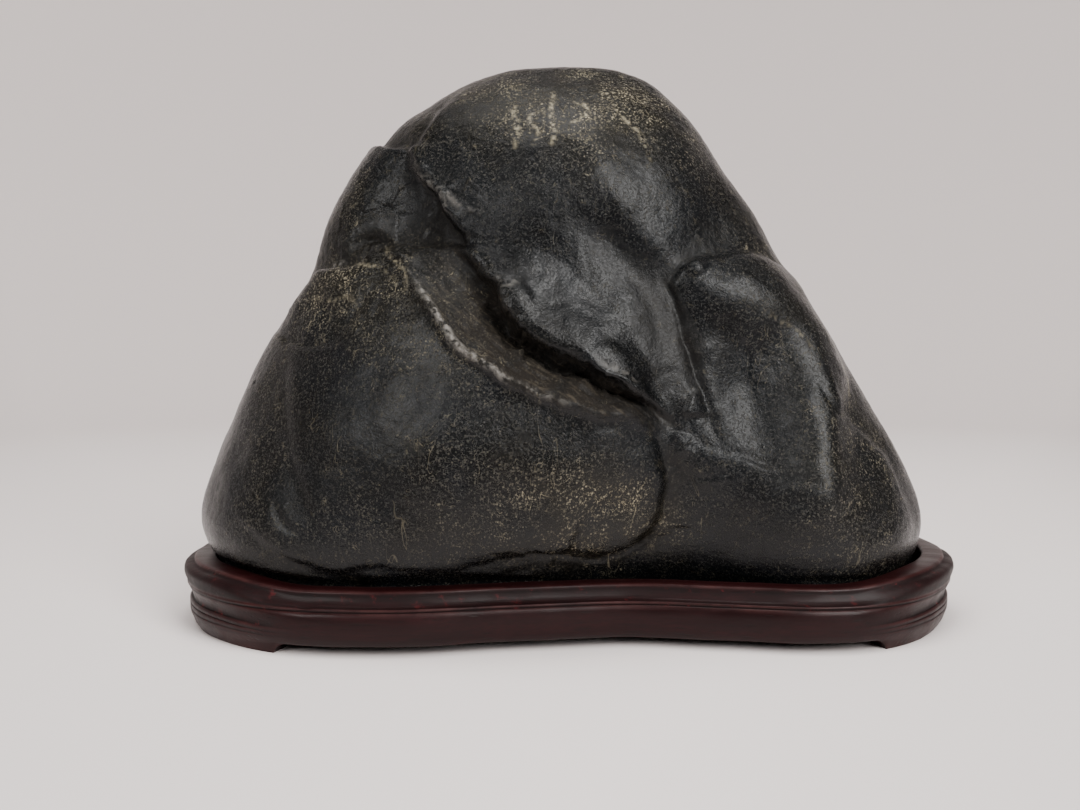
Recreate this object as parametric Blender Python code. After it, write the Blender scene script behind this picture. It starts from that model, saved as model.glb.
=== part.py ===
# A mountain-shaped scholar's rock resting in its carved hardwood stand.
# Metres, +Z up, the long side along X, the front towards -Y.
# The helpers work in millimetres and the meshes are scaled once, at the end.

import math

import bmesh
import bpy
import numpy as np
from mathutils import Vector, noise

mm = 0.001

# driving dimensions, mm
stoneTop = 211.0            # summit of the stone above the ground
stoneUnderside = 9.0        # flat patch that the stone sits on
seatFloor = 8.7             # floor of the recess, with a small gap below the stone
seatInset = 12.0            # recess wall, in from the widest line of the stand
lipFront = 22.0             # height of the lip along the long sides
lipEnd = 25.5               # height of the lip at the two ends
beadHeight = 15.6           # thin bead below the lip
waistHeight = 10.8          # hollow of the moulding at the ends
apronHeight = 3.6           # clear space below the long sides
hollowHeight = 5.0          # underside of the block between the feet
footBand = 10.0             # width of the band that carries the feet
footTips = (-103.0, 108.0)  # where the end feet stop along X
footCurve = 5.0             # length of the curve from a foot tip up to the apron
endStart = 92.0             # the long sides' moulding turns into the ends' from here along X
endBlend = 42.0             # length of that change
standGap = 0.6              # least side clearance from the stone to the recess wall
seatWidth = 137.0           # half length of the recess
seatDepth = 58.0            # half depth of the recess
seatBlend = 46.0            # height over which the stone leaves the recess outline
seatFlare = 11.0            # height above the lip over which it may overhang the recess
seatOverhang = 26.0         # how far out it may then reach

stoneDetail = 7             # icosphere subdivisions of the sculpted stone
stoneTriangles = 6100       # what is left of them in the solid
stationStep = 8.6           # spacing of the sections along the stand's outline
tipStations = (-2.4, -0.8, 0.4, 1.6, 3.0, 4.6)  # further sections about each foot tip, along the outline
leastStep = 0.7             # sections closer together than this become one

# the stone's sections: height, then how far the stone reaches to the left, right, front and back
stoneSections = [
    (4, 0, 0, 0, 0),
    (9, 122, 120, 47, 47),
    (15, 131, 129, 53, 52),
    (24, 137, 135, 58, 56),
    (38, 142, 137.5, 62, 58),
    (56, 139, 130.5, 63, 58),
    (83, 127.5, 114, 60, 55),
    (110, 114, 97.5, 56, 51),
    (135, 101, 82.5, 50, 45),
    (160, 89.5, 69, 45, 38),
    (178, 77, 56, 38, 31),
    (193, 60, 43.5, 28, 23),
    (204, 40, 31, 16, 15),
    (209, 25, 19, 9, 9),
    (stoneTop, 0, 0, 0, 0),
]
sectionBoxiness = 2.35

# edges that bound the forms of the front, as (x, z, strength) from the upper left to the lower right
riftLip = [
    (-66, 139, 0), (-61, 134, .3), (-55, 125, .5), (-50, 117.5, .75), (-45, 110, 1), (-38, 102.5, 1), (-31, 97.5, 1),
    (-25, 93, 1), (-16, 89, 1), (-8, 85.5, 1), (3, 83, 1), (13, 82, .8), (20, 79.5, .45), (26, 73, 0)]
riftBrow = [
    (-50, 139, 0), (-41, 137, .5), (-34, 130, .8), (-27, 123, 1), (-25, 118, 1), (-21.5, 112, 1), (-16, 106, 1),
    (-8, 102, 1), (0, 99.5, 1), (9, 95, 1), (17, 91.5, .9), (24, 87.5, .5), (30, 82, 0)]
scoopArc = [
    (-45, 139, 0), (-39, 138, .5), (-26, 139, .9), (-15, 137, 1), (-4, 132, 1), (7, 122, 1),
    (16.5, 111, 1), (22, 103, .8), (26, 96, .4), (30, 88, 0)]

# broad swellings and hollows: centre (x, z), reach (along, across), height, turn in degrees
frontSwells = {
    "left lobe": ((-55, 58), (58, 50), 5, 0),
    "valley between the lobes": ((39, 56), (18, 42), -6, 8),
    "right lobe": ((88, 50), (26, 40), 3, 0),
    "hollow beside the right crest": ((60, 86), (12, 22), -4, 30),
    "lump in the rift": ((-4, 94), (6, 3), 2.0, -30),
    "second lump in the rift": ((10, 89), (5, 3), 2.0, -20),
    "belly of the dome": ((-8, 160), (42, 28), 6, 0),
    "shoulder scoop": ((-62, 151), (15, 17), -5, -20),
    "facet on the right": ((54, 158), (16, 24), -4, 0),
    "arch over the lip": ((24, 10), (44, 13), -4, 0),
    "swell of the left lobe": ((-58, 64), (40, 24), 5.5, -12),
    "dome beside the trough": ((30, 148), (12, 20), 1.5, -30),
    "knot": ((41, 131), (3.4, 2.2), 1.8, -20),
}
backSwells = {
    "back left lobe": ((-62, 52), (50, 46), 4, 0),
    "back valley": ((-8, 44), (22, 44), -7, -10),
    "back right lobe": ((62, 62), (48, 46), 5, 0),
    "back hollow": ((34, 128), (26, 18), -6, 28),
    "back shoulder": ((-40, 140), (26, 26), 4, 0),
    "back belly": ((6, 176), (34, 24), 3, 0),
    "back left scoop": ((-84, 112), (20, 26), -4, 20),
    "back arch": ((-14, 12), (40, 12), -7, 0),
}

# swellings and hollows that wrap round the flanks: centre (x, y, z), radius, height
flankSwells = {
    "right flank hollow": ((92, 28, 94), 24, -5),
    "right heel": ((104, 34, 50), 26, 3.5),
    "left flank hollow": ((-104, 26, 100), 24, -4.5),
    "left heel": ((-112, 34, 48), 26, 3),
    "back facet of the summit": ((-20, 26, 186), 20, -4),
    "right side of the summit": ((40, 22, 172), 18, -3),
    "front left corner": ((-112, -42, 46), 22, 2.5),
}

# what lies between two edges: the near one, the far one, and heights across from 0 to 1
frontBands = {
    "rift": dict(
        near=riftLip, far=riftBrow[::-1],
        across=[(0, 6.0), (.1, 5.0), (.35, 2.6), (.55, .2), (.68, -3.5), (.82, -7.0), (.93, -7.5), (1, -6)]),
    "scoop": dict(
        near=riftBrow, far=scoopArc[::-1],
        across=[(0, 4.0), (.05, 5.4), (.16, 6.8), (.5, 3.9), (.9, .6), (1, 0)]),
    "chipped facet": dict(
        near=[(-68, 120, 0), (-75, 123.5, 1), (-87, 125.5, 1), (-100, 124, .6), (-108, 122, 0)],
        far=[(-110, 107, 0), (-104, 105.5, .8), (-92, 104, 1), (-81, 107.5, 1), (-74, 115, .7),
             (-70, 122, 0)],
        across=[(0, 0), (.3, -.4), (.8, -1.7), (1, -1.9)]),
}

# ledges: a path of (x, z, strength) with the raised side to the left of travel
frontLedges = {
    "rift lip": dict(path=riftLip[::-1], high=6.2, edge=0, fadeHigh=42, low=0, fadeLow=10, sharp=.7),
    "foot of the left lobe": dict(
        path=[(-40, 29, .4), (-26, 32, .8), (-8, 33, 1), (9, 32, 1), (22, 36, 1), (29, 44, 1),
              (31, 54, 1), (30, 63, .9), (27, 71, .4), (25, 76, 0)],
        high=5.5, edge=13, fadeHigh=15, low=2.5, fadeLow=9),
    "low bedding ledge": dict(
        path=[(-118, 42, .2), (-95, 31, 1), (-81, 27, 1), (-67, 29, 1), (-47, 29, .8), (-26, 30, .3)],
        high=2.5, edge=7, fadeHigh=16, low=1.5, fadeLow=7),
    "top of the left lobe": dict(
        path=[(-56, 134, 0), (-64, 137, .6), (-73, 136.5, 1), (-77, 133, 1), (-86, 133, 1),
              (-94, 131, 1), (-103, 122, .5), (-112, 108, 0)],
        high=3, edge=6, fadeHigh=18, low=4, fadeLow=10),
    "shoulder ridge": dict(
        path=[(-58, 171, 0), (-56, 167, .7), (-51, 159, 1), (-45, 150, 1), (-38, 139, .6), (-34, 134, 0)],
        high=2.2, edge=2, fadeHigh=12, low=3.0, fadeLow=12),
    "base of the shoulder facet": dict(
        path=[(-36, 138, 0), (-44, 138, .8), (-52, 139, 1), (-63, 140.5, .8), (-70, 140, .2)],
        high=1.6, edge=3, fadeHigh=9, low=1.6, fadeLow=8),
    "top of the right lobe": dict(
        path=[(84, 128, .2), (72, 135, .7), (62, 137, 1), (52, 136, 1), (43, 133.5, 1),
              (36, 129, .6), (33, 122, 0)],
        high=4.2, edge=20, fadeHigh=30, low=2.0, fadeLow=14),
    "small step on the right lobe": dict(
        path=[(77, 57, 0), (73, 60, .8), (65, 63.3, 1), (58, 65.3, 1), (51, 66.5, 0)],
        high=.6, edge=2.5, fadeHigh=7, low=.5, fadeLow=4),
    "right flank step": dict(
        path=[(124, 40, .2), (120, 51, .6), (112, 66, 1), (101, 76, 1), (93, 82, 1), (89, 90, .6),
              (87, 100, 0)],
        high=.9, edge=5, fadeHigh=12, low=.8, fadeLow=8),
    "left flank crease": dict(
        path=[(-104, 104, 0), (-103, 95, .7), (-100, 77, 1), (-95, 59, 1), (-87, 43, .6), (-78, 34, 0)],
        high=1.8, edge=12, fadeHigh=22, low=1, fadeLow=12),
    "shoulder notch": dict(
        path=[(-54, 176, .2), (-64, 177, 1), (-72, 179, 1), (-82, 180, 1)],
        high=1.5, edge=3, fadeHigh=14, low=2.5, fadeLow=8),
    "edge of the top facet": dict(
        path=[(-44, 197, 0), (-49, 191, .8), (-54, 183, 1), (-58, 176, .8), (-59, 170, 0)],
        high=.8, edge=5, fadeHigh=10, low=1.4, fadeLow=9),
}
backLedges = {
    "back crease": dict(
        path=[(84, 138, 0), (70, 131, .6), (54, 124, 1), (36, 110, 1), (20, 103, 1), (4, 92, 1),
              (-10, 84, 1), (-22, 68, .8), (-30, 50, 0)],
        high=7, edge=5, fadeHigh=38, low=5, fadeLow=16),
    "back right foot": dict(
        path=[(-14, 30, .3), (6, 27, 1), (30, 30, 1), (58, 27, 1), (88, 30, .8), (112, 40, .3)],
        high=3, edge=6, fadeHigh=18, low=2, fadeLow=7),
    "back shoulder step": dict(
        path=[(-90, 170, 0), (-72, 161, 1), (-54, 150, 1), (-43, 132, 1), (-40, 114, .7), (-44, 96, 0)],
        high=4, edge=7, fadeHigh=32, low=4, fadeLow=24),
    "back flank step": dict(
        path=[(-126, 100, 0), (-106, 88, 1), (-86, 79, 1), (-66, 78, 1), (-48, 66, .8), (-36, 46, 0)],
        high=3, edge=6, fadeHigh=26, low=3, fadeLow=18),
    "back cap step": dict(
        path=[(64, 182, 0), (44, 172, 1), (20, 163, 1), (-6, 165, 1), (-28, 178, 0)],
        high=2.5, edge=6, fadeHigh=24, low=3, fadeLow=26),
}

# rounded ridges and troughs: path of (x, z, strength), height and half width
frontRidges = {
    "crest of the lip": dict(path=riftLip, high=1.3, wide=3.2),
    "right crest": dict(
        path=[(44, 130, .2), (62, 122, .7), (74, 116, .9), (81, 108, 1), (85, 98, 1), (86, 88, 1),
              (84.5, 77, 1), (84.5, 65, 1), (84, 50, .8), (82, 34, .1)],
        high=6.5, wide=11),
    "dome ridge": dict(
        path=[(4, 181, 0), (8, 171, .8), (14, 156, 1), (20.5, 143, 1), (29, 135, 1), (34, 127, .4)],
        high=2.2, wide=8),
    "trough beside the dome": dict(
        path=[(4, 152, 0), (10, 143, .8), (24, 128, 1), (29.5, 118, 1), (34, 104, .8), (38, 92, 0)],
        high=-3.8, wide=8),
    "furrow beside the seam": dict(
        path=[(32, 127, .2), (34, 121, .8), (38, 108, 1), (45, 86, 1), (50, 74, .3)],
        high=-1.0, wide=3),
}
backRidges = {
    "back crest": dict(
        path=[(-30, 180, 0), (-20, 152, 1), (-14, 126, 1), (-20, 102, 1), (-32, 82, 0)],
        high=4, wide=14),
    "back furrow": dict(path=[(6, 90, 0), (0, 72, 1), (2, 52, 1), (6, 34, 0)], high=-3, wide=10),
}

# waves of the worn surface, and of the edges' way from their paths: height and length
weathering = [(1.1, 36), (0.5, 13)]
edgeWander = [(1.5, 14), (0.7, 5)]

strengthBlend = 3.0         # distance over which two stretches of a path share their strengths
pastEndFade = 6.0           # distance past its ends over which a path dies away
faceLimit = 0.45            # how far a surface may be turned from the front, or the back, to take its forms
faceFade = 0.5              # and how gently they fade there

# the stand's widest line seen from above, anticlockwise from the left end
standOutline = [
    (-149, -5), (-146, -25), (-136, -45), (-118, -61), (-95, -70), (-60, -73), (-20, -66),
    (18, -61), (50, -65), (80, -69), (105, -65), (125, -53), (140, -33), (148, -12),
    (149, 5), (146, 25), (135, 46), (110, 63), (75, 72), (30, 67), (-5, 65), (-40, 68),
    (-78, 73), (-112, 65), (-136, 46), (-146, 25),
]


def softStep(value, low, high):
    t = np.clip((value - low) / (high - low), 0, 1)
    return t * t * (3 - 2 * t)


# a smooth curve through hand-set values, read at the given places
def smoothThrough(at, places, values):
    slope = np.gradient(values, places)
    i = np.clip(np.searchsorted(places, at) - 1, 0, len(places) - 2)
    span = places[i + 1] - places[i]
    t = np.clip((at - places[i]) / span, 0, 1)
    rise = t * t * (3 - 2 * t)
    start = slope[i] * span * (t**3 - 2 * t**2 + t)
    end = slope[i + 1] * span * (t**3 - t**2)
    return values[i] * (1 - rise) + values[i + 1] * rise + start + end


# a Catmull-Rom curve through a few points
def curveThrough(points, steps=8, closed=False):
    p = np.asarray(points, float)
    if closed:
        p = np.vstack([p[-1], p, p[:2]])
    else:
        p = np.vstack([2 * p[0] - p[1], p, 2 * p[-1] - p[-2]])
    t = np.arange(steps)[:, None] / steps
    spans = []
    for a, b, c, d in zip(p[:-3], p[1:-2], p[2:-1], p[3:]):
        spans.append(0.5 * (2 * b + (c - a) * t + (2 * a - 5 * b + 4 * c - d) * t**2
                            + (3 * b - a - 3 * c + d) * t**3))
    if not closed:
        spans.append(p[-2:-1])
    return np.vstack(spans)


# rounded sections, one above the other, laid out from a ball's directions
def baseShape(directions):
    rows = np.array(stoneSections, float)
    middle = (rows[0, 0] + rows[-1, 0]) / 2
    half = (rows[-1, 0] - rows[0, 0]) / 2
    height = np.clip(directions[:, 2], -1, 1)
    marks = np.arcsin(np.clip((rows[:, 0] - middle) / half, -1, 1))
    left, right, front, back = (smoothThrough(np.arcsin(height), marks, rows[:, k]) for k in range(1, 5))
    turn = np.arctan2(directions[:, 1], directions[:, 0])
    c, s = np.cos(turn), np.sin(turn)
    grow = (np.abs(c)**sectionBoxiness + np.abs(s)**sectionBoxiness)**(-1 / sectionBoxiness)
    z = middle + half * height
    wide = np.where(c < 0, left, right)
    deep = np.where(s < 0, front, back)
    lobed = np.stack([c * grow * wide, s * grow * deep], 1)
    # towards the seat the sections take on its kidney outline
    aim = np.arctan2(s * seatDepth, c * seatWidth)
    seat = seatReach(aim)
    seated = np.stack([seat * np.cos(aim) * wide / seatWidth, seat * np.sin(aim) * deep / seatDepth], 1)
    share = 1 - softStep(z, lipFront, lipFront + seatBlend)[:, None]
    return np.column_stack([lobed * (1 - share) + seated * share, z])


def normalsOf(points, triangles):
    a, b, c = (points[triangles[:, k]] for k in range(3))
    face = np.cross(b - a, c - a)
    total = np.zeros_like(points)
    for k in range(3):
        np.add.at(total, triangles[:, k], face)
    return total / (np.linalg.norm(total, axis=1, keepdims=True) + 1e-12)


# distance to a path, the same with a sign (left of travel is positive), and the path's strength there;
# past an end the sign turns over gently and the strength dies away, so that nothing jumps
def fromPath(x, z, path):
    marks = np.array(path, float)
    marks[[0, -1], 2] = 0
    curve = curveThrough(marks)
    aways, strengths = [], []
    nearest = np.full(len(x), 1e9)
    signed = np.zeros(len(x))
    for a, b in zip(curve[:-1], curve[1:]):
        dx, dz = b[0] - a[0], b[1] - a[1]
        t = np.clip(((x - a[0]) * dx + (z - a[1]) * dz) / (dx * dx + dz * dz), 0, 1)
        away = np.hypot(x - a[0] - t * dx, z - a[1] - t * dz)
        across = (dx * (z - a[1]) - dz * (x - a[0])) / math.hypot(dx, dz)
        near = away < nearest
        nearest[near] = away[near]
        signed[near] = across[near]
        aways.append(away)
        strengths.append(a[2] + t * (b[2] - a[2]))
    # where two stretches of the path are about as near, their strengths are mixed
    weights = np.exp((nearest - np.array(aways)) / strengthBlend)
    strength = (weights * strengths).sum(0) / weights.sum(0)
    past = np.sqrt(np.maximum(nearest**2 - signed**2, 0))
    return nearest, signed, strength * np.exp(-(past / pastEndFade)**2)


def swell(x, z, centre, reach, high, turn):
    c, s = math.cos(math.radians(turn)), math.sin(math.radians(turn))
    dx, dz = x - centre[0], z - centre[1]
    along = (dx * c + dz * s) / reach[0]
    across = (dz * c - dx * s) / reach[1]
    return high * np.exp(-along**2 - across**2)


def flankForms(points):
    total = 0
    for centre, radius, high in flankSwells.values():
        away = np.linalg.norm(points - centre, axis=1)
        total = total + high * np.exp(-(away / radius)**2)
    return total


def ledge(x, z, path, high, edge, fadeHigh, low, fadeLow, sharp=1.8):
    _, away, strength = fromPath(x, z, path)
    q = np.clip(away / edge, 0, 1) if edge else 1
    raised = high * np.sqrt(1 - (1 - q)**2) * np.exp(-(np.maximum(away, 0) / fadeHigh)**2)
    sunk = -low * np.exp(-(np.minimum(away, 0) / fadeLow)**2)
    mix = softStep(away, -sharp, sharp)
    return strength * (mix * raised + (1 - mix) * sunk)


def ridge(x, z, path, high, wide):
    away, _, strength = fromPath(x, z, path)
    return strength * high * np.exp(-(away / wide)**2)


# heights across from one edge to the other, and nothing outside them
def band(x, z, near, far, across):
    _, fromNear, nearStrength = fromPath(x, z, near)
    _, fromFar, farStrength = fromPath(x, z, far)
    gap = np.maximum(fromNear, 0) + np.maximum(fromFar, 0)
    t = np.maximum(fromNear, 0) / np.maximum(gap, 0.01)
    inside = softStep(fromNear, -0.7, 0.7) * softStep(fromFar, -0.7, 0.7)
    heights = np.interp(t, [place for place, _ in across], [height for _, height in across])
    return inside * np.minimum(nearStrength, farStrength) * heights


# the front and the back moved along their normals by what amountAt gives, with edges that wander a little
def pushed(points, triangles, amountAt, wander=()):
    normal = normalsOf(points, triangles)
    x, z = points[:, 0] + waves(points + 311, wander), points[:, 2] + waves(points + 733, wander)
    frontShare = np.clip((faceLimit - normal[:, 1]) / faceFade, 0, 1)
    backShare = np.clip((faceLimit + normal[:, 1]) / faceFade, 0, 1) * (1 - frontShare)
    amount = amountAt(x, z, "front") * frontShare + amountAt(x, z, "back") * backShare
    return points + normal * amount[:, None]


def broadForms(x, z, face):
    swells = frontSwells if face == "front" else backSwells
    return sum(swell(x, z, *values) for values in swells.values())


def sharpForms(x, z, face):
    ledges = frontLedges if face == "front" else backLedges
    ridges = frontRidges if face == "front" else backRidges
    total = sum(ledge(x, z, **values) for values in ledges.values())
    total = total + sum(ridge(x, z, **values) for values in ridges.values())
    if face == "front":
        total = total + sum(band(x, z, **values) for values in frontBands.values())
    return total


def waves(points, sizes):
    amount = np.zeros(len(points))
    for high, length in sizes:
        amount += high * np.array([noise.noise(Vector(p) / length) for p in points])
    return amount


# how far the stone may reach from the origin in each direction inside the recess
def seatReach(angle):
    wall = insetFrom(standStations(), seatInset + standGap)
    wallAngle = np.arctan2(wall[:, 1], wall[:, 0])
    order = np.argsort(wallAngle)
    return np.interp(angle, wallAngle[order], np.hypot(wall[:, 0], wall[:, 1])[order], period=2 * math.pi)


# below the lip the stone stays inside the recess, and it ends flat above its floor
def keptInSeat(points):
    out = points.copy()
    reach = np.hypot(out[:, 0], out[:, 1])
    limit = seatReach(np.arctan2(out[:, 1], out[:, 0]))
    free = np.clip((out[:, 2] - lipEnd) / seatFlare, 0, 1)
    shrink = np.minimum(1, (limit + seatOverhang * free**1.5) / np.maximum(reach, 1))
    out[:, :2] *= shrink[:, None]
    out[:, 2] = np.maximum(out[:, 2], stoneUnderside)
    return out


def makeStone():
    bm = bmesh.new()
    bmesh.ops.create_icosphere(bm, subdivisions=stoneDetail, radius=1)
    bm.verts.index_update()
    directions = np.array([v.co for v in bm.verts])
    triangles = np.array([[v.index for v in f.verts] for f in bm.faces])
    points = baseShape(directions)
    points = points + normalsOf(points, triangles) * flankForms(points)[:, None]
    points = pushed(points, triangles, broadForms)
    points = pushed(points, triangles, sharpForms, edgeWander)
    points = points + normalsOf(points, triangles) * waves(points, weathering)[:, None]
    points = keptInSeat(points)
    for vert, place in zip(bm.verts, points):
        vert.co = Vector(place) * mm
    above = [v for v in bm.verts if v.co.z > (stoneUnderside + 1) * mm]
    bmesh.ops.smooth_vert(bm, verts=above, factor=0.5, use_axis_x=True, use_axis_y=True, use_axis_z=True)
    mesh = bpy.data.meshes.new("stone")
    bm.to_mesh(mesh)
    bm.free()
    stone = bpy.data.objects.new("stone", mesh)
    bpy.context.collection.objects.link(stone)
    thin = stone.modifiers.new("Decimate", "DECIMATE")
    thin.ratio = stoneTriangles / len(mesh.polygons)
    mesh.shade_smooth()
    return stone


# evenly spaced points of the outline, closer together at the four foot tips
def standStations():
    curve = curveThrough(standOutline, steps=24, closed=True)
    step = np.hypot(*(np.roll(curve, -1, axis=0) - curve).T)
    run = np.concatenate([[0], np.cumsum(step)])
    length = run[-1]
    loop = np.vstack([curve, curve[:1]])
    marks = list(np.arange(0, length - stationStep / 2, stationStep))
    for tip in footTips:
        for a, b, start in zip(loop[:-1], loop[1:], run[:-1]):
            if (a[0] - tip) * (b[0] - tip) <= 0 and a[0] != b[0]:
                inward = 1 if (b[0] - a[0]) * tip < 0 else -1
                marks += [start + inward * away for away in tipStations]
    marks = np.array(sorted(marks))
    marks = marks[np.concatenate([[True], np.diff(marks) > leastStep])]
    return np.stack([np.interp(marks, run, loop[:, k]) for k in range(2)], 1)


def insetFrom(stations, inset):
    ahead = np.roll(stations, -1, axis=0) - np.roll(stations, 1, axis=0)
    ahead /= np.linalg.norm(ahead, axis=1, keepdims=True)
    inward = np.stack([-ahead[:, 1], ahead[:, 0]], 1)
    return stations + inward * np.asarray(inset).reshape(-1, 1)


# the moulding as rows of (inset, height), from the recess floor over the lip to the underside
def standRows(stations):
    x = stations[:, 0]
    end = softStep(np.abs(x), endStart, endStart + endBlend)
    pastTip = np.where(x < 0, x - footTips[0], footTips[1] - x)
    lift = np.clip(pastTip / footCurve, 0, 1)
    foot = apronHeight * np.sqrt(1 - (1 - lift)**2)
    lip = lipFront + (lipEnd - lipFront) * end

    # side is the value on the long sides, tip the value at the two ends
    def between(side, tip):
        return side + (tip - side) * end

    return [
        (seatInset + 0.3 + 0 * end, seatFloor + 0 * end),
        (seatInset + 0 * end, lip - 1.3),
        (seatInset - 1.0 + 0 * end, lip),
        (between(5.2, 4.6), lip - 0.3),
        (between(4.2, 3.4), lip - 1.3),
        (between(3.4, 0.3), between(19.6, 22.6)),
        (between(2.7, 0.0), between(17.2, 20.6)),
        (between(1.3, 1.2), between(beadHeight + 0.5, 16.6)),
        (between(1.3, 1.5), between(beadHeight - 0.5, 15.4)),
        (between(0.2, 2.6), between(13.2, 13.0)),
        (between(0.0, 3.0), between(9.6, waistHeight)),
        (between(0.4, 1.9), between(6.8, 7.6)),
        (between(1.0, 2.4), np.maximum(between(5.0, 4.6), foot + 0.9)),
        (between(2.0, 4.6), foot),
        (between(2.0, 4.6) + footBand - 2, foot),
        (between(2.0, 4.6) + footBand, hollowHeight + 0 * end),
    ]


def makeStand():
    stations = standStations()
    rows = standRows(stations)
    bm = bmesh.new()
    station = bm.verts.layers.int.new("station")
    ring = bmesh.ops.create_circle(bm, segments=len(stations), radius=1)["verts"]
    for index, vert in enumerate(ring):
        vert[station] = index
    edges = list(bm.edges)
    for number, (inset, height) in enumerate(rows):
        if number:
            grown = bmesh.ops.extrude_edge_only(bm, edges=edges)["geom"]
            ring = [part for part in grown if isinstance(part, bmesh.types.BMVert)]
            edges = [part for part in grown if isinstance(part, bmesh.types.BMEdge)]
            edges = [edge for edge in edges if all(v in ring for v in edge.verts)]
        places = insetFrom(stations, inset)
        for vert in ring:
            index = vert[station]
            vert.co = (places[index][0] * mm, places[index][1] * mm, float(height[index]) * mm)
    rims = [edge for edge in bm.edges if edge.is_boundary]
    bmesh.ops.edgeloop_fill(bm, edges=rims)
    bmesh.ops.recalc_face_normals(bm, faces=bm.faces)
    mesh = bpy.data.meshes.new("stand")
    bm.to_mesh(mesh)
    bm.free()
    stand = bpy.data.objects.new("stand", mesh)
    bpy.context.collection.objects.link(stand)
    mesh.shade_smooth()
    mesh.set_sharp_from_angle(angle=math.radians(38))
    return stand


def finish(name, colour, roughness):
    material = bpy.data.materials.new(name)
    material.use_nodes = True
    shader = material.node_tree.nodes["Principled BSDF"]
    shader.inputs["Base Color"].default_value = (*colour, 1)
    shader.inputs["Roughness"].default_value = roughness
    shader.inputs["Metallic"].default_value = 0
    return material


def main():
    for old in list(bpy.data.objects):
        bpy.data.objects.remove(old, do_unlink=True)
    stone = makeStone()
    stone.data.materials.append(finish("waxed black stone", (0.019, 0.018, 0.017), 0.42))
    stand = makeStand()
    stand.data.materials.append(finish("dark red hardwood", (0.032, 0.013, 0.012), 0.38))


main()
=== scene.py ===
# Scholar's rock on its carved stand: finish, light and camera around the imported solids.
import math

import bmesh
import bpy
import numpy as np
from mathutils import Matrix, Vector, noise


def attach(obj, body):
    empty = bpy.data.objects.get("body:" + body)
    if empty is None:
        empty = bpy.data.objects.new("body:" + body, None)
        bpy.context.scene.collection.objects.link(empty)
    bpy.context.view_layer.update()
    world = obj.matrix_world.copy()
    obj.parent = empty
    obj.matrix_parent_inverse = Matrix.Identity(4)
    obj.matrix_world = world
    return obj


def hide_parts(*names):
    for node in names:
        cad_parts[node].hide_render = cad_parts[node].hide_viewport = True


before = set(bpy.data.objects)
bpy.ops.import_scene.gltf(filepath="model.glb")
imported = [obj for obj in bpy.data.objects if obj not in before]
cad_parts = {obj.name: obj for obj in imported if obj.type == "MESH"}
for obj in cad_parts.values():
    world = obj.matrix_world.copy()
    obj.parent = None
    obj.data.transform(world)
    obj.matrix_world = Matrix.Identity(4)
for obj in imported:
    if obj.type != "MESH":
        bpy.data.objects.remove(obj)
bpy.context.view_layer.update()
print("frame loaded:", sorted(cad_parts))

mm = 0.001


def newObject(name, bm):
    mesh = bpy.data.meshes.new(name)
    bm.to_mesh(mesh)
    bm.free()
    piece = bpy.data.objects.new(name, mesh)
    bpy.context.scene.collection.objects.link(piece)
    mesh.shade_smooth()
    return piece


# a smooth curve through listed values, read at the given places
def smoothThrough(at, places, values):
    slope = np.gradient(values, places)
    i = np.clip(np.searchsorted(places, at) - 1, 0, len(places) - 2)
    span = places[i + 1] - places[i]
    t = np.clip((at - places[i]) / span, 0, 1)
    rise = t * t * (3 - 2 * t)
    start = slope[i] * span * (t**3 - 2 * t**2 + t)
    end = slope[i + 1] * span * (t**3 - t**2)
    return values[i] * (1 - rise) + values[i + 1] * rise + start + end


# a Catmull-Rom curve through a few points
def curveThrough(points, steps=8, closed=False):
    p = np.asarray(points, float)
    if closed:
        p = np.vstack([p[-1], p, p[:2]])
    else:
        p = np.vstack([2 * p[0] - p[1], p, 2 * p[-1] - p[-2]])
    t = np.arange(steps)[:, None] / steps
    spans = []
    for a, b, c, d in zip(p[:-3], p[1:-2], p[2:-1], p[3:]):
        spans.append(0.5 * (2 * b + (c - a) * t + (2 * a - 5 * b + 4 * c - d) * t**2
                            + (3 * b - a - 3 * c + d) * t**3))
    if not closed:
        spans.append(p[-2:-1])
    return np.vstack(spans)


def softStep(value, low, high):
    t = np.clip((value - low) / (high - low), 0, 1)
    return t * t * (3 - 2 * t)


standForm = {
    # widest line seen from above, anticlockwise from the left end, mm
    "outline": [
        (-149, -5), (-146, -25), (-136, -45), (-118, -61), (-95, -70), (-60, -73), (-20, -66),
        (18, -61), (50, -65), (80, -69), (105, -65), (125, -53), (140, -33), (148, -12),
        (149, 5), (146, 25), (135, 46), (110, 63), (75, 72), (30, 67), (-5, 65), (-40, 68),
        (-78, 73), (-112, 65), (-136, 46), (-146, 25),
    ],
    "stationStep": 2.2,         # spacing of the sections along the outline
    "tipStations": (-1.2, -0.4, 0.1, 0.6, 1.2, 2.0, 3.0, 4.2),    # further sections about each foot tip
    "leastStep": 0.35,          # sections closer together than this become one
    "footTips": (-103, 108),    # where the end feet stop along X
    "footCurve": 5.0,           # length of the curve from a foot tip up to the apron
    "endStart": 92.0,           # the ends' moulding takes over from here along X
    "endBlend": 42.0,
    "lipFront": 22.0, "lipEnd": 25.5,
    "seatInset": 12.0,          # recess wall, in from the widest line
    "apronHeight": 3.6, "hollowHeight": 5.0,
    "footBand": 10.0,           # width of the band that carries the feet
}


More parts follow.
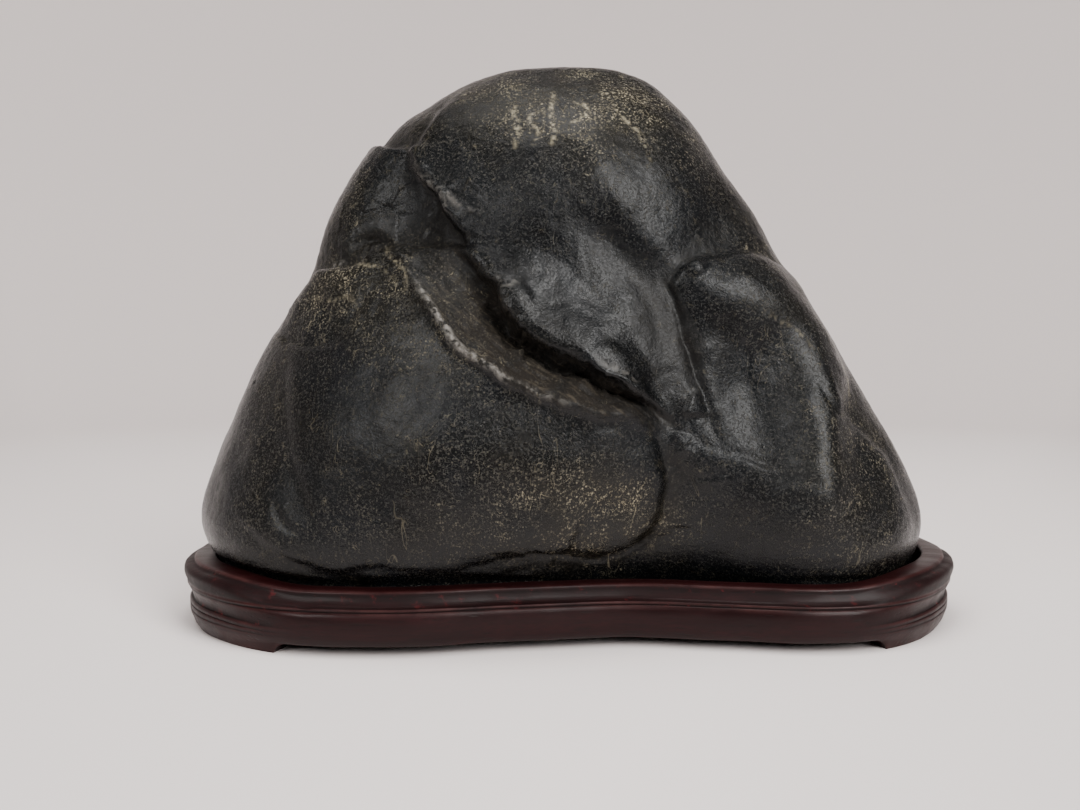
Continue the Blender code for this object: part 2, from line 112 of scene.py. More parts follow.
# evenly spaced points of the outline, closer together at the four foot tips
def standStations():
    form = standForm
    curve = curveThrough(form["outline"], steps=24, closed=True)
    step = np.hypot(*(np.roll(curve, -1, axis=0) - curve).T)
    run = np.concatenate([[0], np.cumsum(step)])
    loop = np.vstack([curve, curve[:1]])
    marks = list(np.arange(0, run[-1] - form["stationStep"] / 2, form["stationStep"]))
    for tip in form["footTips"]:
        for a, b, start in zip(loop[:-1], loop[1:], run[:-1]):
            if (a[0] - tip) * (b[0] - tip) <= 0 and a[0] != b[0]:
                inward = 1 if (b[0] - a[0]) * tip < 0 else -1
                marks += [start + inward * away for away in form["tipStations"]]
    marks = np.array(sorted(marks))
    marks = marks[np.concatenate([[True], np.diff(marks) > form["leastStep"]])]
    return np.stack([np.interp(marks, run, loop[:, k]) for k in range(2)], 1)


def insetFrom(stations, inset):
    ahead = np.roll(stations, -1, axis=0) - np.roll(stations, 1, axis=0)
    ahead /= np.linalg.norm(ahead, axis=1, keepdims=True)
    inward = np.stack([-ahead[:, 1], ahead[:, 0]], 1)
    return stations + inward * np.asarray(inset).reshape(-1, 1)


stoneForm = {
    # height, then the reach to the left, right, front and back, mm
    "sections": [
        (4, 0, 0, 0, 0),
        (9, 122, 120, 47, 47),
        (15, 131, 129, 53, 52),
        (24, 137, 135, 58, 56),
        (38, 142, 137.5, 62, 58),
        (56, 139, 130.5, 63, 58),
        (83, 127.5, 114, 60, 55),
        (110, 114, 97.5, 56, 51),
        (135, 101, 82.5, 50, 45),
        (160, 89.5, 69, 45, 38),
        (178, 77, 56, 38, 31),
        (193, 60, 43.5, 28, 23),
        (204, 40, 31, 16, 15),
        (209, 25, 19, 9, 9),
        (211, 0, 0, 0, 0),
    ],
    "boxiness": 2.35,           # 2 is an oval section, more is squarer
    "underside": 9.0,
    "seatGap": 0.6,             # least side clearance to the recess wall
    "seatWidth": 137.0, "seatDepth": 58.0,    # half sizes of the recess
    "seatBlend": 46.0,          # height over which the stone leaves the recess outline
    "seatFlare": 11.0, "seatOverhang": 26.0,    # how soon and how far it may overhang the lip
    "waves": [(1.1, 36), (0.5, 13)],    # height and length of the weathering
}

# edges that bound the forms of the front, as (x, z, strength) from the upper left to the lower right
riftLip = [
    (-66, 139, 0), (-61, 134, .3), (-55, 125, .5), (-50, 117.5, .75), (-45, 110, 1), (-38, 102.5, 1),
    (-31, 97.5, 1), (-25, 93, 1), (-16, 89, 1), (-8, 85.5, 1), (3, 83, 1), (13, 82, .8),
    (20, 79.5, .45), (26, 73, 0)]
riftBrow = [
    (-50, 139, 0), (-41, 137, .25), (-34, 130, .45), (-27, 123, .7), (-25, 118, .9), (-21.5, 112, 1),
    (-16, 106, 1), (-8, 102, 1), (0, 98.5, 1), (9, 93, 1), (17, 89, .9), (24, 85.5, .5), (30, 81, 0)]
# the rift is shallower towards its upper end
riftFar = [(x, z, strength * min(1, max(0.3, (140 - z) / 30))) for x, z, strength in riftBrow]
scoopArc = [
    (-45, 139, 0), (-39, 138, .5), (-26, 139, .9), (-15, 137, 1), (-4, 132, 1), (7, 122, 1),
    (16.5, 111, 1), (22, 103, .8), (26, 96, .4), (30, 88, 0)]

# broad swellings and hollows: centre (x, z), reach (along, across), height, turn in degrees
frontSwells = {
    "left lobe": ((-55, 58), (58, 50), 5, 0),
    "valley between the lobes": ((39, 56), (18, 42), -6, 8),
    "right lobe": ((88, 50), (26, 40), 3, 0),
    "hollow beside the right crest": ((60, 86), (12, 22), -4, 30),
    "lump in the rift": ((-4, 94), (6, 3), 2.0, -30),
    "second lump in the rift": ((10, 89), (5, 3), 2.0, -20),
    "belly of the dome": ((-8, 160), (42, 28), 6, 0),
    "shoulder scoop": ((-62, 151), (15, 17), -5, -20),
    "facet on the right": ((54, 158), (16, 24), -4, 0),
    "arch over the lip": ((24, 10), (44, 13), -4, 0),
    "swell of the left lobe": ((-58, 64), (40, 24), 5.5, -12),
    "knot": ((41, 131), (3.4, 2.2), 2.2, -20),
    "left corner of the scoop": ((-21, 120), (5, 4), 1.8, -40),
    "right corner of the scoop": ((12, 99), (6, 3.5), 1.6, -30),
    "boss at the toe": ((38, 69), (5, 4), 1.8, -40),
}
backSwells = {
    "back left lobe": ((-62, 52), (50, 46), 4, 0),
    "back valley": ((-8, 44), (22, 44), -7, -10),
    "back right lobe": ((62, 62), (48, 46), 5, 0),
    "back hollow": ((34, 128), (26, 18), -6, 28),
    "back shoulder": ((-40, 140), (26, 26), 4, 0),
    "back belly": ((6, 176), (34, 24), 3, 0),
    "back left scoop": ((-84, 112), (20, 26), -4, 20),
    "back arch": ((-14, 12), (40, 12), -7, 0),
}

# swellings and hollows that wrap round the flanks: centre (x, y, z), radius, height
flankSwells = {
    "right flank hollow": ((92, 28, 94), 24, -5),
    "right heel": ((104, 34, 50), 26, 3.5),
    "left flank hollow": ((-104, 26, 100), 24, -4.5),
    "left heel": ((-112, 34, 48), 26, 3),
    "back facet of the summit": ((-20, 26, 186), 20, -4),
    "right side of the summit": ((40, 22, 172), 18, -3),
    "front left corner": ((-112, -42, 46), 22, 2.5),
}

# what lies between two edges: the near one, the far one, and heights across from 0 to 1
frontBands = {
    "rift": dict(
        near=riftLip, far=riftFar[::-1],
        across=[(0, 6.0), (.1, 5.0), (.35, 2.6), (.55, .2), (.68, -3.5), (.82, -7.0), (.93, -7.5), (1, -6)]),
    "scoop": dict(
        near=riftBrow, far=scoopArc[::-1],
        across=[(0, 4.0), (.05, 5.4), (.16, 6.8), (.5, 3.9), (.9, .6), (1, 0)]),
    "chipped facet": dict(
        near=[(-68, 120, 0), (-75, 123.5, 1), (-87, 125.5, 1), (-100, 124, .6), (-108, 122, 0)],
        far=[(-110, 107, 0), (-104, 105.5, .8), (-92, 104, 1), (-81, 107.5, 1), (-74, 115, .7),
             (-70, 122, 0)],
        across=[(0, 0), (.3, -.4), (.8, -1.7), (1, -1.9)]),
}

# ledges: a path of (x, z, strength) with the raised side to the left of travel
frontLedges = {
    "rift lip": dict(path=riftLip[::-1], high=6.2, edge=0, fadeHigh=42, low=0, fadeLow=10, sharp=.7),
    "foot of the left lobe": dict(
        path=[(-40, 29, .4), (-26, 32, .8), (-8, 33, 1), (9, 32, 1), (22, 36, 1), (29, 44, 1),
              (31, 54, 1), (30, 63, .9), (27, 71, .4), (25, 76, 0)],
        high=4.6, edge=13, fadeHigh=15, low=1.8, fadeLow=9),
    "low bedding ledge": dict(
        path=[(-118, 42, .2), (-95, 31, 1), (-81, 27, 1), (-67, 29, 1), (-47, 29, .8), (-26, 30, .3)],
        high=1.2, edge=7, fadeHigh=16, low=.6, fadeLow=7),
    "top of the left lobe": dict(
        path=[(-56, 134, 0), (-64, 137, .6), (-73, 136.5, 1), (-77, 133, 1), (-86, 133, 1),
              (-94, 131, 1), (-103, 122, .5), (-112, 108, 0)],
        high=3, edge=6, fadeHigh=18, low=4, fadeLow=10),
    "shoulder ridge": dict(
        path=[(-58, 171, 0), (-56, 167, .7), (-51, 159, 1), (-45, 150, 1), (-38, 139, .6), (-34, 134, 0)],
        high=2.2, edge=2, fadeHigh=12, low=3.0, fadeLow=12),
    "base of the shoulder facet": dict(
        path=[(-36, 138, 0), (-44, 138, .8), (-52, 139, 1), (-63, 140.5, .8), (-70, 140, .2)],
        high=1.6, edge=3, fadeHigh=9, low=1.6, fadeLow=8),
    "top of the right lobe": dict(
        path=[(84, 128, .2), (72, 135, .7), (62, 137, 1), (52, 136, 1), (43, 133.5, 1),
              (36, 129, .6), (33, 122, 0)],
        high=4.2, edge=20, fadeHigh=30, low=2.0, fadeLow=14),
    "small step on the right lobe": dict(
        path=[(77, 57, 0), (73, 60, .8), (65, 63.3, 1), (58, 65.3, 1), (51, 66.5, 0)],
        high=.6, edge=2.5, fadeHigh=7, low=.5, fadeLow=4),
    "right flank step": dict(
        path=[(124, 40, .2), (120, 51, .6), (112, 66, 1), (101, 76, 1), (93, 82, 1), (89, 90, .6),
              (87, 100, 0)],
        high=.9, edge=5, fadeHigh=12, low=.8, fadeLow=8),
    "left flank crease": dict(
        path=[(-104, 104, 0), (-103, 95, .7), (-100, 77, 1), (-95, 59, 1), (-87, 43, .6), (-78, 34, 0)],
        high=1.5, edge=16, fadeHigh=24, low=.3, fadeLow=12, sharp=4),
    "shoulder notch": dict(
        path=[(-54, 176, .2), (-64, 177, 1), (-72, 179, 1), (-82, 180, 1)],
        high=1.5, edge=3, fadeHigh=14, low=2.5, fadeLow=8),
    "edge of the top facet": dict(
        path=[(-44, 197, 0), (-49, 191, .8), (-54, 183, 1), (-58, 176, .8), (-59, 170, 0)],
        high=.8, edge=5, fadeHigh=10, low=1.4, fadeLow=9),
}
backLedges = {
    "back crease": dict(
        path=[(84, 138, 0), (70, 131, .6), (54, 124, 1), (36, 110, 1), (20, 103, 1), (4, 92, 1),
              (-10, 84, 1), (-22, 68, .8), (-30, 50, 0)],
        high=7, edge=5, fadeHigh=38, low=5, fadeLow=16),
    "back right foot": dict(
        path=[(-14, 30, .3), (6, 27, 1), (30, 30, 1), (58, 27, 1), (88, 30, .8), (112, 40, .3)],
        high=3, edge=6, fadeHigh=18, low=2, fadeLow=7),
    "back shoulder step": dict(
        path=[(-90, 170, 0), (-72, 161, 1), (-54, 150, 1), (-43, 132, 1), (-40, 114, .7), (-44, 96, 0)],
        high=4, edge=7, fadeHigh=32, low=4, fadeLow=24),
    "back flank step": dict(
        path=[(-126, 100, 0), (-106, 88, 1), (-86, 79, 1), (-66, 78, 1), (-48, 66, .8), (-36, 46, 0)],
        high=3, edge=6, fadeHigh=26, low=3, fadeLow=18),
    "back cap step": dict(
        path=[(64, 182, 0), (44, 172, 1), (20, 163, 1), (-6, 165, 1), (-28, 178, 0)],
        high=2.5, edge=6, fadeHigh=24, low=3, fadeLow=26),
}

# rounded ridges and troughs: path of (x, z, strength), height and half width
frontRidges = {
    "roll of the lip": dict(path=riftLip, high=1.3, wide=3.2),
    "right crest": dict(
        path=[(44, 130, .2), (62, 122, .7), (74, 116, .9), (81, 108, 1), (85, 98, 1), (86, 88, 1),
              (84.5, 77, 1), (84.5, 65, 1), (84, 50, .8), (82, 34, .1)],
        high=6.5, wide=11),
    "dome ridge": dict(
        path=[(4, 181, 0), (8, 171, .8), (14, 156, 1), (20.5, 143, 1), (29, 135, 1), (34, 127, .4)],
        high=1.4, wide=9),
    "trough beside the dome": dict(
        path=[(4, 152, 0), (10, 143, .8), (24, 128, 1), (29.5, 118, 1), (34, 104, .8), (38, 92, 0)],
        high=-3.0, wide=9),
    "furrow beside the seam": dict(
        path=[(32, 127, .2), (34, 121, .8), (38, 108, 1), (45, 86, 1), (50, 74, .3)],
        high=-1.0, wide=3),
}
backRidges = {
    "back crest": dict(
        path=[(-30, 180, 0), (-20, 152, 1), (-14, 126, 1), (-20, 102, 1), (-32, 82, 0)],
        high=4, wide=14),
    "back furrow": dict(path=[(6, 90, 0), (0, 72, 1), (2, 52, 1), (6, 34, 0)], high=-3, wide=10),
}

# fine lines in the finished shape: path of (x, z, strength), depth (raised if below zero) and width
frontCracks = {
    "crest of the lip": dict(path=riftLip[2:], deep=-1.0, wide=1.5),
    "chip crack": dict(
        path=[(-107, 107, .3), (-104, 105, 1), (-92, 103.5, 1), (-81, 107, .8), (-76, 112, .3)],
        deep=.8, wide=1.0),
    "heel crack": dict(
        path=[(-103, 50, .3), (-101, 46, 1), (-97, 42, .8), (-94, 40, .2)],
        deep=.9, wide=1.0),
    "dome seam": dict(
        path=[(32, 127, .5), (33, 123.5, 1), (38, 108, 1), (45.5, 85.5, 1), (50, 72, .4)],
        deep=1.1, wide=1.0),
    "ridge line": dict(
        path=[(-57, 168, .4), (-53, 164, 1), (-49, 160, 1), (-45, 153, 1), (-41, 149, .5)],
        deep=-1.1, wide=1.1),
    "second ridge line": dict(
        path=[(-56, 171, .3), (-51, 165, 1), (-46, 158, 1), (-40, 152, .8), (-33, 150, .2)],
        deep=-.9, wide=1.0),
    "hair crack on the ridge": dict(
        path=[(-57, 171, .2), (-54, 167, 1), (-50, 162, 1), (-45, 156, .4)],
        deep=.8, wide=.8),
    "pit under the shoulder": dict(
        path=[(-79, 141, .4), (-75, 142, 1), (-71, 142.5, 1), (-67, 140, .3)],
        deep=2.6, wide=2.4),
    "flank notch": dict(
        path=[(86, 91, .3), (88, 87, 1), (91, 82.5, 1), (97, 78.5, .3)],
        deep=.9, wide=1.1),
    "toe bedding": dict(
        path=[(-40, 31, .2), (-24, 33, 1), (-8, 31, 1), (6, 29, 1), (20, 33, .3)],
        deep=.7, wide=1.1),
    "low bedding": dict(
        path=[(-92, 27, .2), (-74, 24, 1), (-52, 25, 1), (-30, 24, .8), (-14, 27, .2)],
        deep=.8, wide=1.2),
}

# edges that have crumbled: path, reach to either side, share
crumbledEdges = [
    (riftBrow, 3.0, 0.9),
    ([(-30, 31, 0), (-22, 33, .8), (-8, 33, 1), (9, 31, 1), (22, 35, 1), (30, 43, 1), (33, 54, 1),
      (31, 66, 0)], 3.0, .5),
    ([(-60, 172, 0), (-55, 166, 1), (-48, 158, 1), (-41, 147, 1), (-36, 138, 0)], 4.0, .35),
    ([(-88, 139, 0), (-80, 140, 1), (-70, 139, 1), (-60, 140, 0)], 3.5, .6),
    ([(30, 76, 0), (36, 71, 1), (41, 65, .8), (44, 58, 0)], 5.0, .6),
]

# painted highlight lines, on the lip of the rift, on a few ridges and at the corners of the scoop: path of
# (x, z, strength)
paintedHighlightLines = [
    [(-57, 129, 0), (-50, 118, .8), (-45, 110.5, 1), (-38, 103, 1), (-31, 98, .9), (-25, 93.5, .7),
     (-16, 89.5, .5), (-8, 86, .3), (0, 84, 0)],
    [(-58, 171, 0), (-53, 164, .5), (-49, 160, .35), (-45, 153, .4), (-41, 149, 0)],
    [(-52, 166, 0), (-46, 158, .45), (-40, 152, .3), (-33, 150, 0)],
    [(-89, 134, 0), (-86.5, 134.6, .8), (-84, 135, 0)],
    [(-27, 127, 0), (-25.5, 125, .5), (-22.5, 124, .5), (-20, 125.5, 0)],
    [(6, 99.5, 0), (11, 97.5, .3), (16, 95.5, .35), (20, 93, 0)],
]

# cream veins: path of (x, z, strength)
creamVeins = [
    [(-21, 190, 0), (-21, 186, 1), (-20, 177, .8), (-20, 173, 0)],
    [(-7, 196, 0), (-7, 192, 1), (-7.5, 185, .7), (-7, 178, 1), (-8, 174, 0)],
    [(0, 192, 0), (4, 189, .8), (4, 185, 1), (0, 183, 0)],
    [(-14, 186, 0), (-16, 182, .7), (-13, 178, .6), (-14, 174, 0)],
    [(14, 190, 0), (18, 184, .6), (24, 178, .5), (27, 170, 0)],
    [(-80, 134, 0), (-74, 132, .5), (-68, 131, .3), (-62, 126, 0)],
    [(-67, 139, 0), (-63, 134, .45), (-59, 129, .35), (-58, 122, 0)],
    [(-94, 122, 0), (-88, 120, .4), (-80, 121, .3), (-76, 117, 0)],
    [(75, 138, 0), (86, 125.5, .35), (92, 114, .5), (96.5, 103, .5), (100.5, 90, .5), (100.5, 82, 0)],
    [(66, 117, 0), (72, 113, .2), (79, 109, .25), (84, 104, 0)],
]

# broad planes: centre (x, z), reach, amount
facetPatches = [
    ((-56, 152), (24, 20), 1.0),
    ((42, 60), (14, 26), .5),
    ((-92, 114), (18, 10), .5),
    ((34, 84), (12, 10), .7),
]

# where the cream flecks gather: centre (x, z), reach, amount
fleckPatches = [
    ((-36, 106), (30, 20), 0.55),
    ((-10, 196), (60, 18), 1.0),
    ((20, 178), (50, 20), 0.5),
    ((10, 46), (26, 16), 1.0),
    ((-24, 50), (40, 24), 0.3),
    ((-70, 60), (30, 30), 0.12),
    ((-84, 124), (30, 16), 0.9),
    ((-84, 160), (14, 14), 0.6),
    ((80, 130), (24, 30), 0.5),
    ((104, 60), (26, 40), 0.6),
    ((-110, 70), (20, 40), 0.3),
]

stoneFinish = {
    "seed": 5,                  # for the tilts of the chips, which would follow the clock without it
    "detail": 7,                # icosphere subdivisions before the front is made finer
    "ahead": (0, -0.97, 0.24), "finerFrom": 0.25,    # which side is made finer, and how far round
    "easeFrom": 1.0, "easeBy": 0.5,    # forms higher than this are smoothed once, by this much
    "grain": (0.14, 2.6),       # height and length of the fine grain in the mesh, mm
    "chip": (0.6, 5.0),         # steepness and size of the chips in the rift and along crumbled edges
    "facet": (0.26, 13.0),      # the same for the broad planes of the shoulder and the valley
    "chipStretch": (1, 0.6, 1.3),
    "wander": [(1.5, 14), (0.7, 5)],    # how far the edges wander from their paths, and over what length
    "layers": 6.5, "layerHeight": 0.8, "layerDrift": (2.5, 9),    # worn layers across the rift
    "hollowDepth": 6.0,         # how far below its surroundings a place counts as fully hollow
    "paintedHighlightWidth": 0.85, "veinWidth": 0.6,    # half widths of the painted highlight lines and of the cream veins, mm
    "pitDepth": 0.45, "pitSpacing": 7.0, "pitShare": 0.35,
}


# rounded sections, one above the other, laid out from a ball's directions
def baseShape(directions):
    rows = np.array(stoneForm["sections"], float)
    middle = (rows[0, 0] + rows[-1, 0]) / 2
    half = (rows[-1, 0] - rows[0, 0]) / 2
    height = np.clip(directions[:, 2], -1, 1)
    marks = np.arcsin(np.clip((rows[:, 0] - middle) / half, -1, 1))
    left, right, front, back = (smoothThrough(np.arcsin(height), marks, rows[:, k]) for k in range(1, 5))
    turn = np.arctan2(directions[:, 1], directions[:, 0])
    c, s = np.cos(turn), np.sin(turn)
    boxiness = stoneForm["boxiness"]
    grow = (np.abs(c)**boxiness + np.abs(s)**boxiness)**(-1 / boxiness)
    z = middle + half * height
    wide = np.where(c < 0, left, right)
    deep = np.where(s < 0, front, back)
    lobed = np.stack([c * grow * wide, s * grow * deep], 1)
    # towards the seat the sections take on its kidney outline
    seatWidth, seatDepth = stoneForm["seatWidth"], stoneForm["seatDepth"]
    aim = np.arctan2(s * seatDepth, c * seatWidth)
    seat = seatReach(aim)
    seated = np.stack([seat * np.cos(aim) * wide / seatWidth, seat * np.sin(aim) * deep / seatDepth], 1)
    share = 1 - softStep(z, standForm["lipFront"], standForm["lipFront"] + stoneForm["seatBlend"])[:, None]
    return np.column_stack([lobed * (1 - share) + seated * share, z])


# how far the stone may reach from the origin in each direction inside the recess
def seatReach(angle):
    wall = insetFrom(standStations(), standForm["seatInset"] + stoneForm["seatGap"])
    wallAngle = np.arctan2(wall[:, 1], wall[:, 0])
    order = np.argsort(wallAngle)
    return np.interp(angle, wallAngle[order], np.hypot(wall[:, 0], wall[:, 1])[order], period=2 * math.pi)


def normalsOf(points, triangles):
    a, b, c = (points[triangles[:, k]] for k in range(3))
    face = np.cross(b - a, c - a)
    total = np.zeros_like(points)
    for k in range(3):
        for axis in range(3):
            total[:, axis] += np.bincount(triangles[:, k], face[:, axis], len(points))
    return total / (np.linalg.norm(total, axis=1, keepdims=True) + 1e-12)


strengthBlend = 3.0         # distance over which two stretches of a path share their strengths
pastEndFade = 6.0           # distance past its ends over which a path dies away
faceLimit = 0.45            # how far a surface may be turned from the front, or the back, to take its forms
faceFade = 0.5              # and how gently they fade there
edgeBlend = 0.7             # half width of the change at the edges of a band


# distance to a path, the same with a sign (left of travel is positive), and the path's strength there;
# past an end the sign turns over gently and the strength dies away, so that nothing jumps
def fromPath(x, z, path):
    marks = np.array(path, float)
    marks[[0, -1], 2] = 0
    curve = curveThrough(marks)
    aways, strengths = [], []
    nearest = np.full(len(x), 1e9)
    signed = np.zeros(len(x))
    for a, b in zip(curve[:-1], curve[1:]):
        dx, dz = b[0] - a[0], b[1] - a[1]
        t = np.clip(((x - a[0]) * dx + (z - a[1]) * dz) / (dx * dx + dz * dz), 0, 1)
        away = np.hypot(x - a[0] - t * dx, z - a[1] - t * dz)
        across = (dx * (z - a[1]) - dz * (x - a[0])) / math.hypot(dx, dz)
        near = away < nearest
        nearest[near] = away[near]
        signed[near] = across[near]
        aways.append(away)
        strengths.append(a[2] + t * (b[2] - a[2]))
    # where two stretches of the path are about as near, their strengths are mixed
    weights = np.exp((nearest - np.array(aways)) / strengthBlend)
    strength = (weights * strengths).sum(0) / weights.sum(0)
    past = np.sqrt(np.maximum(nearest**2 - signed**2, 0))
    return nearest, signed, strength * np.exp(-(past / pastEndFade)**2)


def swell(x, z, centre, reach, high, turn):
    c, s = math.cos(math.radians(turn)), math.sin(math.radians(turn))
    dx, dz = x - centre[0], z - centre[1]
    along = (dx * c + dz * s) / reach[0]
    across = (dz * c - dx * s) / reach[1]
    return high * np.exp(-along**2 - across**2)


def flankForms(points):
    total = 0
    for centre, radius, high in flankSwells.values():
        away = np.linalg.norm(points - centre, axis=1)
        total = total + high * np.exp(-(away / radius)**2)
    return total


def ledge(x, z, path, high, edge, fadeHigh, low, fadeLow, sharp=1.8):
    _, away, strength = fromPath(x, z, path)
    q = np.clip(away / edge, 0, 1) if edge else 1
    raised = high * np.sqrt(1 - (1 - q)**2) * np.exp(-(np.maximum(away, 0) / fadeHigh)**2)
    sunk = -low * np.exp(-(np.minimum(away, 0) / fadeLow)**2)
    mix = softStep(away, -sharp, sharp)
    return strength * (mix * raised + (1 - mix) * sunk)


def ridge(x, z, path, high, wide):
    away, _, strength = fromPath(x, z, path)
    return strength * high * np.exp(-(away / wide)**2)


# heights across from one edge to the other, and nothing outside them
def band(x, z, near, far, across):
    _, fromNear, nearStrength = fromPath(x, z, near)
    _, fromFar, farStrength = fromPath(x, z, far)
    gap = np.maximum(fromNear, 0) + np.maximum(fromFar, 0)
    t = np.maximum(fromNear, 0) / np.maximum(gap, 0.01)
    inside = softStep(fromNear, -edgeBlend, edgeBlend) * softStep(fromFar, -edgeBlend, edgeBlend)
    heights = np.interp(t, [place for place, _ in across], [height for _, height in across])
    return inside * (nearStrength + (farStrength - nearStrength) * t) * heights


def crack(x, z, path, deep, wide):
    away, _, strength = fromPath(x, z, path)
    return -strength * deep * np.exp(-(away / wide)**1.6)


def raised(points, triangles, amount):
    return points + normalsOf(points, triangles) * amount[:, None]


# places on the front or the back, led astray a little so that no edge follows its path too neatly;
# the two shifts only keep X and Z from wandering together
def wandered(points, wander):
    flat = points * (1, 0, 1)
    return points[:, 0] + waves(flat + 311, wander), points[:, 2] + waves(flat + 733, wander)


# the front and the back moved along their normals by what amountAt gives
def pushed(points, triangles, amountAt, wander=()):
    normal = normalsOf(points, triangles)
    x, z = wandered(points, wander)
    frontShare = np.clip((faceLimit - normal[:, 1]) / faceFade, 0, 1)
    backShare = np.clip((faceLimit + normal[:, 1]) / faceFade, 0, 1) * (1 - frontShare)
    amount = amountAt(x, z, "front") * frontShare + amountAt(x, z, "back") * backShare
    return points + normal * amount[:, None]


def broadForms(x, z, face):
    swells = frontSwells if face == "front" else backSwells
    return sum(swell(x, z, *values) for values in swells.values())


def sharpForms(x, z, face):
    ledges = frontLedges if face == "front" else backLedges
    ridges = frontRidges if face == "front" else backRidges
    total = sum(ledge(x, z, **values) for values in ledges.values())
    total = total + sum(ridge(x, z, **values) for values in ridges.values())
    if face == "front":
        total = total + sum(band(x, z, **values) for values in frontBands.values())
    return total


def cracks(x, z, face):
    if face == "back":
        return np.zeros(len(x))
    return sum(crack(x, z, **values) for values in frontCracks.values())


def waves(points, sizes):
    amount = np.zeros(len(points))
    for high, length in sizes:
        amount += high * np.array([noise.noise(Vector(p) / length) for p in points])
    return amount


# broken stone: each cell is a small plane with its own tilt and height
def chips(points, size):
    out = np.zeros(len(points))
    for i, p in enumerate(points):
        place = Vector(p) / size
        centre = noise.voronoi(place)[1][0]
        tilt = noise.noise_vector(centre * 3.7)
        out[i] = (place - centre).dot(tilt) + 0.35 * noise.noise(centre * 5.1)
    return out


# shallow round pits in some of the cells
def pits(points, spacing, share):
    out = np.zeros(len(points))
    for i, p in enumerate(points):
        place = Vector(p) / spacing
        away, centres = noise.voronoi(place)
        if noise.noise(centres[0] * 4.3) > 1 - 2 * share:
            radius = 0.12 + 0.1 * abs(noise.noise(centres[0] * 7.9))
            out[i] = -max(0, 1 - (away[0] / radius)**2)**2
    return out


# below the lip the stone stays inside the recess, and it ends flat above its floor
def keptInSeat(points):
    out = points.copy()
    reach = np.hypot(out[:, 0], out[:, 1])
    limit = seatReach(np.arctan2(out[:, 1], out[:, 0]))
    end = softStep(np.abs(out[:, 0]), standForm["endStart"], standForm["endStart"] + standForm["endBlend"])
    lip = standForm["lipFront"] + (standForm["lipEnd"] - standForm["lipFront"]) * end
    free = np.clip((out[:, 2] - lip) / stoneForm["seatFlare"], 0, 1)
    shrink = np.minimum(1, (limit + stoneForm["seatOverhang"] * free**1.5) / np.maximum(reach, 1))
    out[:, :2] *= shrink[:, None]
    out[:, 2] = np.maximum(out[:, 2], stoneForm["underside"])
    return out


def stoneBall():
    look = stoneFinish
    bm = bmesh.new()
    bmesh.ops.create_icosphere(bm, subdivisions=look["detail"], radius=1)
    ahead = Vector(look["ahead"])
    front = [face for face in bm.faces if face.calc_center_median().dot(ahead) > look["finerFrom"]]
    taken = {edge.index for face in front for edge in face.edges}
    edges = [edge for edge in bm.edges if edge.index in taken]
    bmesh.ops.subdivide_edges(bm, edges=edges, cuts=1, use_grid_fill=True)
    bmesh.ops.triangulate(bm, faces=bm.faces)
    for vert in bm.verts:
        vert.co.normalize()
    bm.verts.index_update()
    return bm


def keepValues(mesh, name, values):
    layer = mesh.attributes.new(name, "FLOAT", "POINT")
    layer.data.foreach_set("value", np.asarray(values, np.float32))


def placed(bm, points):
    for vert, place in zip(bm.verts, points):
        vert.co = Vector(place) * mm


def eased(bm, points, chosen, factor):
    placed(bm, points)
    verts = [vert for vert, take in zip(bm.verts, chosen) if take]
    bmesh.ops.smooth_vert(bm, verts=verts, factor=factor, use_axis_x=True, use_axis_y=True, use_axis_z=True)
    return np.array([v.co for v in bm.verts]) / mm


def patchesAt(x, z, patches):
    total = np.zeros(len(x))
    for centre, reach, amount in patches:
        total += amount * np.exp(-((x - centre[0]) / reach[0])**2 - ((z - centre[1]) / reach[1])**2)
    return total


# how strongly lines of this half width show at each place
def linesAt(x, z, paths, wide):
    lines = np.zeros(len(x))
    for path in paths:
        away, _, strength = fromPath(x, z, path)
        lines = np.maximum(lines, strength * np.exp(-(away / wide)**2))
    return lines


# how far across the rift each place is, from the lip (0) to the brow (1), and whether it is inside
def riftAt(x, z, facing):
    _, fromLip, lipStrength = fromPath(x, z, riftLip)
    _, fromBrow, browStrength = fromPath(x, z, riftBrow[::-1])
    gap = np.maximum(fromLip, 0) + np.maximum(fromBrow, 0)
    across = np.maximum(fromLip, 0) / np.maximum(gap, 0.01)
    inside = softStep(fromLip, -1, 1) * softStep(fromBrow, -2.5, 0.5)
    return across, inside * np.minimum(lipStrength, browStrength) * facing


# broken stone lies below the brow and along the crumbled edges
def brokenAt(x, z, facing, acrossRift, inRift):
    broken = inRift * softStep(acrossRift, 0.45, 0.62)
    for path, reach, share in crumbledEdges:
        away, _, strength = fromPath(x, z, path)
        broken = np.maximum(broken, share * strength * np.exp(-(away / reach)**2) * facing)
    return broken


def chipped(points, triangles, mask, steepness, size):
    chosen = np.nonzero(mask > 0.02)[0]
    amount = np.zeros(len(points))
    places = points[chosen] * stoneFinish["chipStretch"]
    amount[chosen] = steepness * size * chips(places, size) * mask[chosen]
    return raised(points, triangles, amount)


